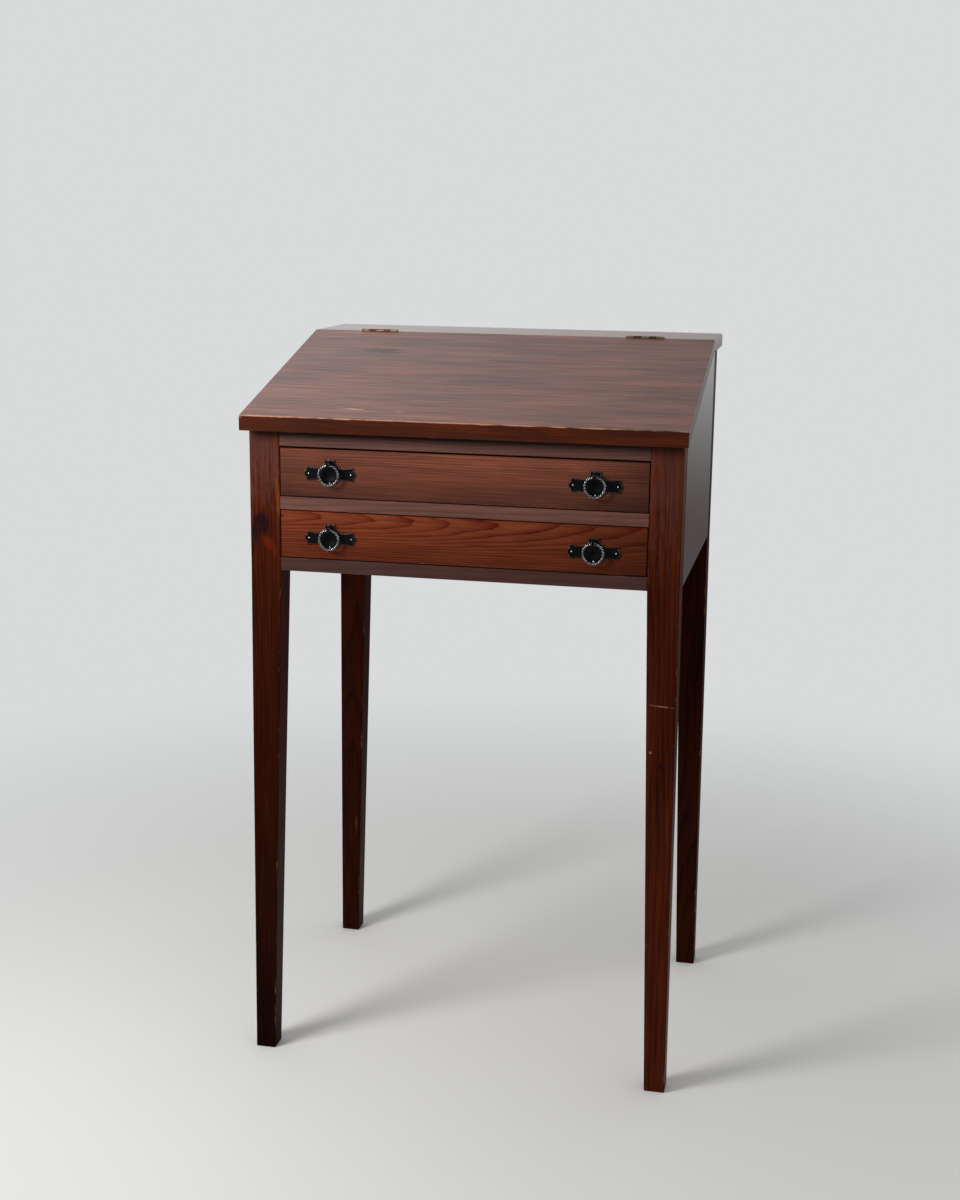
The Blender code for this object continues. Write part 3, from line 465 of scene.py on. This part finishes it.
def forged_iron(name, skin, bright, roughness, metallic):
    """Forged iron, blackened in oil: dark, with shallow hammer marks and bare metal on the rubbed ridges."""
    # Real grit is finer, and is drawn as coarse as it needs to be to show
    hammer_mark = 4.0 * MM
    grain = 0.7 * MM
    depth = 0.1 * MM
    corner = 0.8 * MM
    material, tree, shader = blank(name)
    place = add(tree, "ShaderNodeTexCoord")["Object"]
    hammered = add(tree, "ShaderNodeTexNoise", {
        "Vector": place, "Scale": 1 / hammer_mark, "Detail": 1.0})["Fac"]
    grit = add(tree, "ShaderNodeTexNoise", {"Vector": place, "Scale": 1 / grain, "Detail": 3.0})["Fac"]

    # Bare metal shows on sharp edges and on the crests of a twisted bar, more in some places than in others
    rounded, facing = near_edges(tree, corner, 6)
    begins, full = 0.98, 0.88
    arris = add(tree, "ShaderNodeMapRange", {
        "Value": facing, "From Min": begins, "From Max": full, "To Min": 0.0, "To Max": bright},
        interpolation_type="SMOOTHSTEP")["Result"]
    crest = add(tree, "ShaderNodeAttribute", attribute_name="crest")["Fac"]
    ridge = add(tree, "ShaderNodeMapRange", {"Value": crest, "From Min": 0.89, "From Max": 1.0},
                interpolation_type="SMOOTHSTEP")["Result"]
    touched = add(tree, "ShaderNodeMath", {0: arris, 1: ridge}, operation="MAXIMUM")[0]
    patch = add(tree, "ShaderNodeMapRange", {
        "Value": hammered, "From Min": 0.35, "From Max": 0.6, "To Min": 0.5, "To Max": 1.0})["Result"]
    rubbed = add(tree, "ShaderNodeMath", {0: touched, 1: patch}, operation="MULTIPLY")[0]
    shade = add(tree, "ShaderNodeMix", {
        SHARE: rubbed, COLOUR_A: opaque(skin), COLOUR_B: opaque(colours().iron_worn)}, **LAY)[COLOUR_OUT]

    rough = add(tree, "ShaderNodeMapRange", {
        "Value": grit, **NOISE_SPAN, "To Min": roughness - 0.07, "To Max": roughness + 0.1})["Result"]
    relief = add(tree, "ShaderNodeMath", {0: hammered, 1: 4.0, 2: grit}, operation="MULTIPLY_ADD")[0]
    bump = add(tree, "ShaderNodeBump", {
        "Height": relief, "Strength": 0.5, "Distance": depth, "Normal": rounded})[0]
    feed(tree, shader, {"Base Color": shade, "Roughness": rough, "Normal": bump, "Metallic": metallic})
    return material


def bright_steel(name):
    """Steel nail heads, rubbed bright by hands: nearly white, with soft glints from the hammer's dents."""
    dent = 0.9 * MM
    depth = 0.1 * MM
    material, tree, shader = blank(name)
    place = add(tree, "ShaderNodeTexCoord")["Object"]
    dents = add(tree, "ShaderNodeTexNoise", {"Vector": place, "Scale": 1 / dent, "Detail": 2.0})["Fac"]
    shade = add(tree, "ShaderNodeMix", {
        SHARE: dents, COLOUR_A: opaque(colours().nail), COLOUR_B: opaque(colours().iron_worn)},
        **LAY)[COLOUR_OUT]
    bump = add(tree, "ShaderNodeBump", {"Height": dents, "Strength": 0.5, "Distance": depth})[0]
    feed(tree, shader, {"Base Color": shade, "Normal": bump, "Metallic": 1.0, "Roughness": 0.28})
    return material


def tarnished_brass(name, metal):
    """Drawn brass, left to tarnish: dull and cloudy all over, with warm metal where it is rubbed."""
    cloud_size = 5.0 * MM
    depth = 0.1 * MM
    material, tree, shader = blank(name)
    place = add(tree, "ShaderNodeTexCoord")["Object"]
    cloud = add(tree, "ShaderNodeTexNoise", {"Vector": place, "Scale": 1 / cloud_size, "Detail": 4.0})["Fac"]
    share = add(tree, "ShaderNodeMapRange", {"Value": cloud, "From Min": 0.4, "From Max": 0.75})["Result"]
    shade = add(tree, "ShaderNodeMix", {
        SHARE: share, COLOUR_A: opaque(metal), COLOUR_B: opaque(colours().tarnish)}, **LAY)[COLOUR_OUT]
    rough = add(tree, "ShaderNodeMapRange", {
        "Value": cloud, **NOISE_SPAN, "To Min": 0.38, "To Max": 0.6})["Result"]
    bump = add(tree, "ShaderNodeBump", {"Height": cloud, "Strength": 0.3, "Distance": depth})[0]
    feed(tree, shader, {"Base Color": shade, "Roughness": rough, "Normal": bump, "Metallic": 0.8})
    return material


def dress(node, material):
    """Give a node of the frame a finish in place of its plain one."""
    slots = frame["nodes"][node].data.materials
    slots.clear()
    slots.append(material)


def new_piece(name, shape, material, body):
    """A finished piece that rides on a body of the frame."""
    data = bpy.data.meshes.new(name)
    shape.to_mesh(data)
    shape.free()
    data.materials.append(material)
    data.shade_smooth()
    data.set_sharp_from_angle(angle=SHARP)
    piece = bpy.data.objects.new(name, data)
    bpy.context.scene.collection.objects.link(piece)
    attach(piece, body)
    return piece


class DESK_OT_finish_top(bpy.types.Operator):
    """Stain the writing lid and the rear board"""
    bl_idname = "desk.finish_top"
    bl_label = "Finish Lid and Rear Board"

    def execute(self, context):
        shades = colours()
        face = Vector(next(m for m in frame["record"]["mounts"] if m["name"] == "writing_face")["axis"])
        low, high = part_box("lid")
        nose = Vector((0.0, low.y, high.z + (high.y - low.y) * face.y / face.z))
        half_mm = (high.x - low.x) / 2 / MM

        # On the face: dark wood round the knot, then stain that is rubbed thin and stain that is rubbed off.
        # Each has its place along and up the lid from the nose's middle, its half lengths, depth and shade.
        skin_mm = 4.0
        on_face = (
            (-181.0, 290.0, 52.0, 17.0, 0.75, shades.knot),
            (-150.0, 195.0, 80.0, 14.0, 0.55, shades.scuffed),
            (-30.0, 205.0, 60.0, 9.0, 0.35, shades.scuffed),
            (225.0, 14.0, 75.0, 12.0, 0.55, shades.scuffed),
            (60.0, 9.0, 60.0, 8.0, 0.5, shades.scuffed),
            (-60.0, 12.0, 45.0, 7.0, 0.4, shades.scuffed),
            (-166.0, 39.0, 30.0, 2.6, 0.9, shades.worn),
            (-95.0, 36.0, 14.0, 1.8, 0.5, shades.worn))
        marks = [((x, y, 0.0), (reach, width, skin_mm), 0.0, depth, shade)
                 for x, y, reach, width, depth, shade in on_face]
        # The nose's upper edge, rubbed all along, more on the left and most at its left corner
        on_nose = ((0.0, half_mm * 2, 2.0, 0.75), (-half_mm, half_mm, 2.2, 0.9), (-half_mm, 9.0, 5.0, 0.9))
        marks += [((x, 0.4, -0.4), (reach, width, width), 0.0, depth, shades.worn)
                  for x, reach, width, depth in on_nose]
        # End grain, which drinks the most stain
        marks += [((x, 180.0, -10.0), (1.6, 400.0, 30.0), 0.0, 0.6, shades.knot) for x in (-half_mm, half_mm)]
        dress("lid", pine(
            "stained_pine_lid", (nose, RIGHT, face), (shades.top_light, shades.top_dark),
            (5.0, 230.0, 60.0, 0.9), lines=0.5, patches=0.42, streaks=0.5, dulled=0.3,
            knots=((-181.0, 290.0, 11.0),), wear=(0.4, 0.05), marks=marks, edge=shades.edge,
            roughness=0.34, shine=0.25, seed=1.0))
        dress("rear_board", pine(
            "stained_pine_rear_board", (middle("rear_board"), RIGHT, UP), (shades.top_light, shades.top_dark),
            (4.5, -40.0, 55.0, 1.2), streaks=0.2, dulled=0.3, wear=(0.5, 0.05),
            roughness=0.3, shine=0.36, seed=4.0))
        return {"FINISHED"}


class DESK_OT_finish_rails(bpy.types.Operator):
    """Stain the three rails, which are duller than the drawer fronts"""
    bl_idname = "desk.finish_rails"
    bl_label = "Finish Rails"

    def execute(self, context):
        shades = colours()
        upper = (shades.rail_light, shades.rail_dark)
        lower = (shades.low_rail_light, shades.low_rail_dark)
        # Painted shadow: a dark line on the top rail's front, close under the lid's overhang
        shadow_under_lid = {"Z": ((0.8765, 1.0), (0.8805, 0.75), (0.8833, 0.12), (0.8855, 0.12), (0.889, 0.8))}
        for index, (name, pair, painted_shade) in enumerate((
                ("top_rail", upper, shadow_under_lid), ("middle_rail", upper, None), ("bottom_rail", lower, None))):
            dress(name, pine(
                f"stained_pine_{name}", (middle(name), RIGHT, -BACK), pair,
                (3.6 + 0.5 * index, 40.0 - 9.0 * index, 40.0, 0.9), dulled=0.5 - 0.15 * index,
                wear=(0.5, 0.02), painted_shade=painted_shade, roughness=0.46, seed=7.0 + 3.0 * index))
        return {"FINISHED"}


class DESK_OT_finish_drawer_fronts(bpy.types.Operator):
    """Stain the two drawer fronts, which show the clearest figure"""
    bl_idname = "desk.finish_drawer_fronts"
    bl_label = "Finish Drawer Fronts"

    def execute(self, context):
        shades = colours()
        # Painted shade: the fronts darken along their lower edges and towards their right ends, where less
        # light falls, and the upper front also darkens at its left end
        upper_front_shade = {"Z": ((0.8, 0.42), (0.863, 1.0)),
                       "X": ((0.1, 0.68), (0.3, 1.0), (0.75, 1.0), (0.9, 0.53))}
        lower_front_shade = {"Z": ((0.72, 0.6), (0.78, 1.0)),
                       "X": ((0.1, 1.0), (0.55, 1.0), (0.75, 0.8), (0.9, 0.52))}
        dress("upper_drawer_front", pine(
            "stained_pine_upper_front", (middle("upper_drawer_front"), RIGHT, -BACK),
            (shades.upper_front_light, shades.upper_front_dark), (3.2, 150.0, 60.0, 0.5), lines=1.1,
            streaks=0.3, dulled=0.2, wear=(0.3, 0.0), painted_shade=upper_front_shade, shine=0.2, seed=21.0))
        dress("lower_drawer_front", pine(
            "stained_pine_lower_front", (middle("lower_drawer_front"), RIGHT, -BACK),
            (shades.lower_front_light, shades.lower_front_dark), (3.6, 28.0, 12.0, 3.0), lines=1.1,
            streaks=0.24, wear=(0.3, 0.0), painted_shade=lower_front_shade, roughness=0.4, shine=0.09, seed=26.0))
        return {"FINISHED"}


class DESK_OT_finish_legs(bpy.types.Operator):
    """Stain the four legs, with painted shade that darkens them towards the feet and the rear legs all over
    """
    bl_idname = "desk.finish_legs"
    bl_label = "Finish Legs"

    def execute(self, context):
        shades = colours()
        # Grey bloom at the top of the front legs, painted partly as sheen, the left one's big knot with red
        # and resinous wood round it, the right one's scratch, nick and small knot, and a streak on a rear
        # leg. Places are up from the foot.
        marks = {
            "front_left_leg": (((1000.0, 0.0, 0.0), (190.0, 70.0, 70.0), 0.0, 0.4, shades.bloom),
                               ((810.0, -9.0, 0.0), (30.0, 12.0, 20.0), 38.0, 0.5, shades.ember),
                               ((842.0, 4.0, 0.0), (32.0, 24.0, 20.0), 30.0, 0.85, shades.knot),
                               ((815.0, 14.0, 0.0), (36.0, 13.0, 20.0), 0.0, 0.65, shades.knot),
                               ((885.0, -23.0, 0.0), (55.0, 5.0, 20.0), 0.0, 0.4, shades.amber)),
            "front_right_leg": (((1000.0, 0.0, 0.0), (260.0, 70.0, 70.0), 0.0, 0.3, shades.bloom),
                                ((604.0, 0.0, 0.0), (1.5, 30.0, 20.0), -4.0, 0.4, shades.worn),
                                ((533.5, 13.0, 0.0), (3.0, 3.0, 20.0), 0.0, 0.4, shades.worn),
                                ((514.0, -3.5, 0.0), (9.0, 7.0, 20.0), 0.0, 0.8, shades.knot)),
            "rear_left_leg": (((209.0, -3.0, 0.0), (30.0, 3.0, 60.0), 0.0, 0.3, shades.amber),)}
        # Painted shade: the front legs darken towards the feet, the left one most, and the rear legs are dark
        # all over
        painted_shade = {"front_left_leg": ((0.045, 0.08), (0.41, 0.25), (0.68, 0.42), (0.84, 0.87)),
                 "front_right_leg": ((0.045, 0.5), (0.7, 0.5), (0.84, 1.0))}
        rear_leg_shade = ((0.0, 0.2), (0.8, 0.2))
        for index, name in enumerate(f"{end}_{side}_leg" for end in ("front", "rear") for side, _ in SIDES):
            foot = Vector((middle(name).x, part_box(name)[0].y, 0.0))
            dress(name, pine(
                f"stained_pine_{name}", (foot, UP, -BACK), (shades.leg_light, shades.leg_dark),
                (4.2 + 0.4 * index, 60.0 - 30.0 * index, 45.0 + 6.0 * index, 0.5), lines=0.8, streaks=0.3,
                wear=(0.55, 0.06), marks=marks.get(name, ()), painted_shade={"Z": painted_shade.get(name, rear_leg_shade)},
                shine=0.02, seed=31.0 + 5.0 * index))
        return {"FINISHED"}


class DESK_OT_finish_panels(bpy.types.Operator):
    """Stain the side panels and the back panel"""
    bl_idname = "desk.finish_panels"
    bl_label = "Finish Panels"

    def execute(self, context):
        shades = colours()
        panels = (("left_side_panel", BACK, -RIGHT), ("right_side_panel", BACK, RIGHT),
                  ("back_panel", RIGHT, BACK))
        for index, (name, grain, face) in enumerate(panels):
            dress(name, pine(
                f"stained_pine_{name}", (middle(name), grain, face), (shades.panel_light, shades.panel_dark),
                (5.0 + 0.6 * index, 25.0 - 20.0 * index, 60.0, 1.8), relief=0.05,
                roughness=0.19, shine=0.46, seed=53.0 + 4.0 * index))
        return {"FINISHED"}


class DESK_OT_finish_inner_boards(bpy.types.Operator):
    """Leave the drawers' insides, the runners and the compartment's floor as bare pine"""
    bl_idname = "desk.finish_inner_boards"
    bl_label = "Finish Inner Boards"

    def execute(self, context):
        shades = colours()
        boards = [("compartment_floor", RIGHT, UP)]
        for level in LEVELS:
            boards += [(f"{level}_drawer_back", RIGHT, -BACK), (f"{level}_drawer_bottom", RIGHT, UP)]
            for side, way in SIDES:
                boards.append((f"{level}_drawer_{side}_side", BACK, RIGHT * way))
                boards += [(f"{level}_{side}_{kind}", BACK, UP) for kind in ("runner", "guide")]
                boards.append((f"{level}_{side}_stop", RIGHT, UP))
        for index, (name, grain, face) in enumerate(boards):
            dress(name, pine(
                f"bare_pine_{name}", (middle(name), grain, face), (shades.bare_light, shades.bare_dark),
                (3.5 + 0.3 * (index % 5), 30.0 - 12.0 * (index % 6), 50.0, 1.0),
                roughness=0.75, seed=70.0 + 2.0 * index))
        return {"FINISHED"}


class DESK_OT_finish_hinges(bpy.types.Operator):
    """Tarnish the hinges and drive their screws"""
    bl_idname = "desk.finish_hinges"
    bl_label = "Finish Hinges"

    def execute(self, context):
        pale = tarnished_brass("tarnished_brass", colours().brass)
        brown = tarnished_brass("browned_brass", colours().brass_brown)
        for side, _ in SIDES:
            dress(f"{side}_hinge_pin", pale)
            for half, body, way, brass in (("board", "case", -1, pale), ("lid", "writing_lid", 1, brown)):
                leaf = f"{side}_hinge_{half}_leaf"
                dress(leaf, brass)
                self.add_screws(leaf, body, way, brass)
        return {"FINISHED"}

    def add_screws(self, leaf, body, way, brass):
        """Slotted heads along a leaf, on its face towards the seam and clear of the knuckles."""
        size = sizes()
        low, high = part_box(leaf)
        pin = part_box(leaf.split("_")[0] + "_hinge_pin")
        seam = (pin[0].y + pin[1].y) / 2
        height = (low.z + pin[0].z) / 2 - size.screw_slot
        whole = bmesh.new()
        for index in range(size.screws):
            share = index / max(size.screws - 1, 1) * 2 - 1
            place = Vector(((low.x + high.x) / 2 + share * size.screw_spread, seam, height))
            self.add_head(whole, place, way, index)
        new_piece(leaf.replace("leaf", "screws"), whole, brass, body)

    def add_head(self, whole, place, way, index):
        """Two halves of a flat head, with the slot between them. No two slots of a leaf stand alike."""
        size = sizes()
        leaf_gap = 0.3 * MM
        sunk = 0.5 * MM
        for half in (-1, 1):
            shape = bmesh.new()
            bmesh.ops.create_cone(shape, cap_ends=True, segments=24, radius1=size.screw_head / 2,
                                  radius2=size.screw_head / 2 - size.screw_rise, depth=size.screw_rise + sunk)
            bmesh.ops.bisect_plane(shape, geom=shape.verts[:] + shape.edges[:] + shape.faces[:],
                                   plane_co=(0.0, half * size.screw_slot / 2, 0.0),
                                   plane_no=(0.0, -half, 0.0), clear_outer=True)
            bmesh.ops.holes_fill(shape, edges=shape.edges)
            turn = Matrix.Rotation(math.radians(35 + 50 * index), 4, "Z")
            stand = Matrix.Rotation(math.radians(-90 * way), 4, "X")
            shift = Vector((0.0, -way * leaf_gap + way * (size.screw_rise - sunk) / 2, 0.0))
            bmesh.ops.transform(shape, matrix=Matrix.Translation(place + shift) @ stand @ turn,
                                verts=shape.verts)
            bmesh.ops.recalc_face_normals(shape, faces=shape.faces)
            data = bpy.data.meshes.new("half_head")
            shape.to_mesh(data)
            shape.free()
            whole.from_mesh(data)
            bpy.data.meshes.remove(data)


class DESK_OT_finish_pulls(bpy.types.Operator):
    """Blacken the iron pulls and drive their nails"""
    bl_idname = "desk.finish_pulls"
    bl_label = "Finish Pulls"

    def execute(self, context):
        plate_iron = forged_iron("blackened_iron", colours().iron, 0.5, 0.4, 0.7)
        ring_iron = forged_iron("rubbed_iron", colours().iron_rubbed, 0.35, 0.3, 0.85)
        steel = bright_steel("bright_steel")
        for pull in PULLS:
            dress(f"{pull}_pull_plate", plate_iron)
            dress(f"{pull}_pull_staple", ring_iron)
            self.add_ring(pull, ring_iron)
            self.add_nails(pull, steel)
        return {"FINISHED"}

    def add_ring(self, pull, iron):
        """A square bar, twisted and bent to a ring, with its corners eased by the hammer."""
        size = sizes()
        node = f"{pull}_pull_ring"
        low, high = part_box(node)
        centre = (low + high) / 2
        bar = high.y - low.y
        radius = (high.x - low.x - bar) / 2

        # The bar's section, whose eased corners reach as far out as the bar's box does
        whole = bmesh.new()
        reach = bar / 2 + size.ring_ease * (math.sqrt(2) - 1)
        bmesh.ops.create_circle(whole, cap_ends=True, segments=4, radius=reach,
                                matrix=Matrix.Translation(centre + RIGHT * radius))
        bmesh.ops.bevel(whole, geom=whole.verts[:], offset=size.ring_ease, affect="VERTICES", segments=4,
                        profile=0.5, material=-1)
        bmesh.ops.delete(whole, geom=whole.faces[:], context="FACES_ONLY")
        flats = [edge for edge in whole.edges if edge.calc_length() > size.ring_ease]
        bmesh.ops.subdivide_edges(whole, edges=flats, cuts=2)

        # How near each line of the section lies to a crest of the twist, for the wear
        crest = whole.verts.layers.float.new("crest")
        for vertex in whole.verts:
            vertex[crest] = (vertex.co - centre - RIGHT * radius).length / (bar / 2)

        # The section is spun to a plain ring, and then the bar is twisted about its own axis
        bmesh.ops.spin(whole, geom=whole.verts[:] + whole.edges[:], cent=centre, axis=BACK, angle=math.tau,
                       steps=size.ring_twists * TWIST_STEPS, use_merge=True)
        for vertex in whole.verts:
            spoke = vertex.co - centre
            turn = math.atan2(-spoke.z, spoke.x)
            outward = RIGHT * math.cos(turn) - UP * math.sin(turn)
            axle = centre + outward * radius
            twist = Matrix.Rotation(size.ring_twists * turn, 3, outward.cross(BACK))
            vertex.co = axle + twist @ (vertex.co - axle)
        bmesh.ops.recalc_face_normals(whole, faces=whole.faces)
        ring = new_piece(node.replace("ring", "twisted_ring"), whole, iron, f"{pull}_ring")
        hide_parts(node)

    def add_nails(self, pull, steel):
        """Domed heads: one at each end of the strap and one low on the disc, inside the ring."""
        size = sizes()
        sunk = 0.2 * MM
        plate_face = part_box(f"{pull}_pull_plate")[0].y
        centre = middle(f"{pull}_pull_ring")
        line = centre.z + size.ring_drop
        whole = bmesh.new()
        for x, z in ((-size.nail_spread, 0.0), (size.nail_spread, 0.0), (0.0, -size.nail_drop)):
            made = bmesh.ops.create_uvsphere(whole, u_segments=16, v_segments=10, radius=size.nail_head / 2)
            bmesh.ops.scale(whole, verts=made["verts"], vec=(1.0, 2 * size.nail_rise / size.nail_head, 1.0))
            bmesh.ops.translate(whole, verts=made["verts"], vec=(centre.x + x, plate_face, line + z))
        bmesh.ops.bisect_plane(whole, geom=whole.verts[:] + whole.edges[:] + whole.faces[:],
                               plane_co=(0.0, plate_face + sunk, 0.0), plane_no=(0.0, 1.0, 0.0),
                               clear_outer=True)
        bmesh.ops.holes_fill(whole, edges=whole.edges)
        bmesh.ops.recalc_face_normals(whole, faces=whole.faces)
        new_piece(f"{pull}_pull_nails", whole, steel, pull.split("_")[0] + "_drawer")


class DESK_OT_set_stage(bpy.types.Operator):
    """Lay a pale floor, set soft light and place the camera"""
    bl_idname = "desk.set_stage"
    bl_label = "Set Stage"

    def execute(self, context):
        studio = context.scene.desk_studio
        self.lay_floor(studio)
        self.hang_light(studio)
        self.light_room(studio, context.scene)
        self.place_camera(studio, context.scene)
        context.scene.view_settings.view_transform = "Standard"
        return {"FINISHED"}

    def lay_floor(self, studio):
        """A wide, plain floor of pale matt paint with a barely uneven tone, which fades out far off."""
        patch = 0.9
        shape = bmesh.new()
        bmesh.ops.create_circle(shape, cap_ends=True, segments=96, radius=studio.floor_far)
        data = bpy.data.meshes.new("studio_floor")
        shape.to_mesh(data)
        shape.free()
        material, tree, shader = blank("pale_floor_paint")
        place = add(tree, "ShaderNodeTexCoord")["Object"]
        tone = add(tree, "ShaderNodeTexNoise", {"Vector": place, "Scale": 1 / patch, "Detail": 2.0})["Fac"]
        pale = opaque(colours().floor)
        dimmer = opaque([level * 0.97 for level in pale])
        shade = add(tree, "ShaderNodeMix", {SHARE: tone, COLOUR_A: pale, COLOUR_B: dimmer}, **LAY)[COLOUR_OUT]
        reach = add(tree, "ShaderNodeVectorMath", {0: place}, operation="LENGTH")["Value"]
        fade = add(tree, "ShaderNodeMapRange", {
            "Value": reach, "From Min": studio.floor_near, "From Max": studio.floor_far,
            "To Min": 1.0, "To Max": 0.0}, interpolation_type="SMOOTHSTEP")["Result"]
        feed(tree, shader, {"Base Color": shade, "Alpha": fade, "Roughness": 0.9})
        data.materials.append(material)
        floor = bpy.data.objects.new("studio_floor", data)
        bpy.context.scene.collection.objects.link(floor)

    def hang_light(self, studio):
        """One broad key light, near and high on the left in front."""
        data = bpy.data.lights.new("key_light", "AREA")
        data.shape = "DISK"
        data.size = studio.key_width
        data.energy = studio.key
        lamp = bpy.data.objects.new("key_light", data)
        lamp.location = studio.key_place
        aim = (cad_box[0] + cad_box[1]) / 2 - lamp.location
        lamp.rotation_euler = aim.to_track_quat("-Z", "Y").to_euler()
        lamp.visible_camera = False
        bpy.context.scene.collection.objects.link(lamp)

    def light_room(self, studio, scene):
        """Fill from above, a pale background, and windows that the varnish reflects.

        way is a unit vector out of the room's middle: X to the right, Y to the back and Z up.
        """
        world = bpy.data.worlds.new("studio_room")
        world.use_nodes = True
        scene.world = world
        tree = world.node_tree
        ray = add(tree, "ShaderNodeLightPath")
        way = add(tree, "ShaderNodeSeparateXYZ", {0: add(tree, "ShaderNodeTexCoord")["Generated"]})
        fill = add(tree, "ShaderNodeMapRange", {
            "Value": way["Z"], "From Min": -0.2, "From Max": 0.8,
            "To Min": studio.low, "To Max": studio.sky})["Result"]

        # The window behind the desk is brightest on the left, and more even where the rear board reflects it
        behind = add(tree, "ShaderNodeMapRange", {"Value": way["Y"], "From Min": -0.3, "From Max": 0.5},
                     interpolation_type="SMOOTHSTEP")["Result"]
        turned = add(tree, "ShaderNodeMath", {0: way["X"], 1: 0.5}, operation="ADD")[0]
        panes = add(tree, "ShaderNodeValToRGB", {"Fac": turned}, stops=((0.15, 0.85), (0.41, 0.33)))["Color"]
        even = add(tree, "ShaderNodeMath", {0: panes, 1: 0.7, 2: 0.2}, operation="MULTIPLY_ADD")[0]
        high = add(tree, "ShaderNodeMapRange", {
            "Value": way["Z"], "From Min": 0.1, "From Max": 0.4})["Result"]
        panes = add(tree, "ShaderNodeMix", {SHARE: high, NUMBER_A: even, NUMBER_B: panes})[NUMBER_OUT]

        # The side panel reflects another one on the right, and neither reaches far below the horizon
        beside = add(tree, "ShaderNodeMapRange", {"Value": way["X"], "From Min": 0.3, "From Max": 0.7},
                     interpolation_type="SMOOTHSTEP")["Result"]
        bright = add(tree, "ShaderNodeMath", {0: behind, 1: panes, 2: beside}, operation="MULTIPLY_ADD")[0]
        above = add(tree, "ShaderNodeMapRange", {
            "Value": way["Z"], "From Min": -0.18, "From Max": -0.02,
            "To Min": 0.0, "To Max": studio.glow - studio.gloom}, interpolation_type="SMOOTHSTEP")["Result"]
        window = add(tree, "ShaderNodeMath", {0: bright, 1: above, 2: studio.gloom},
                     operation="MULTIPLY_ADD")[0]

        level = add(tree, "ShaderNodeMix", {
            SHARE: ray["Is Glossy Ray"], NUMBER_A: fill, NUMBER_B: window})[NUMBER_OUT]
        level = add(tree, "ShaderNodeMix", {
            SHARE: ray["Is Camera Ray"], NUMBER_A: level, NUMBER_B: studio.backdrop})[NUMBER_OUT]
        feed(tree, tree.nodes["Background"], {"Strength": level, "Color": opaque(colours().room)})

    def place_camera(self, studio, scene):
        """The photographed view."""
        data = bpy.data.cameras.new("camera")
        data.lens = studio.lens
        data.sensor_width = studio.sensor
        camera = bpy.data.objects.new("camera", data)
        turn = Matrix.Rotation(studio.yaw, 4, "Z") @ Matrix.Rotation(math.pi / 2 - studio.pitch, 4, "X")
        camera.matrix_world = Matrix.Translation(studio.place) @ turn @ Matrix.Rotation(studio.roll, 4, "Z")
        scene.collection.objects.link(camera)
        scene.camera = camera


class DESK_PT_finish(bpy.types.Panel):
    """Steps that finish the desk"""
    bl_idname = "DESK_PT_finish"
    bl_label = "Standing Desk"
    bl_space_type = "VIEW_3D"
    bl_region_type = "UI"
    bl_category = "Desk"

    def draw(self, context):
        for step in STEPS:
            self.layout.operator(step.bl_idname)
        for group in (context.scene.desk_colours, context.scene.desk_sizes, context.scene.desk_studio):
            column = self.layout.column(align=True)
            for name in group.bl_rna.properties.keys():
                if name not in ("rna_type", "name"):
                    column.prop(group, name)


GROUPS = {"desk_colours": DESK_PG_colours, "desk_sizes": DESK_PG_sizes, "desk_studio": DESK_PG_studio}
STEPS = (DESK_OT_finish_top, DESK_OT_finish_rails, DESK_OT_finish_drawer_fronts, DESK_OT_finish_legs,
         DESK_OT_finish_panels, DESK_OT_finish_inner_boards, DESK_OT_finish_hinges, DESK_OT_finish_pulls,
         DESK_OT_set_stage)


def register():
    """Make the settings, the steps and the panel known."""
    for name, group in GROUPS.items():
        bpy.utils.register_class(group)
        setattr(bpy.types.Scene, name, PointerProperty(type=group))
    for step in STEPS:
        bpy.utils.register_class(step)
    bpy.utils.register_class(DESK_PT_finish)


def unregister():
    """Take them out again."""
    bpy.utils.unregister_class(DESK_PT_finish)
    for step in reversed(STEPS):
        bpy.utils.unregister_class(step)
    for name, group in GROUPS.items():
        delattr(bpy.types.Scene, name)
        bpy.utils.unregister_class(group)


def main():
    """Finish the desk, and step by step."""
    register()
    bpy.ops.desk.finish_top()
    bpy.ops.desk.finish_rails()
    bpy.ops.desk.finish_drawer_fronts()
    bpy.ops.desk.finish_legs()
    bpy.ops.desk.finish_panels()
    bpy.ops.desk.finish_inner_boards()
    bpy.ops.desk.finish_hinges()
    bpy.ops.desk.finish_pulls()
    bpy.ops.desk.set_stage()


if __name__ == "__main__":
    main()
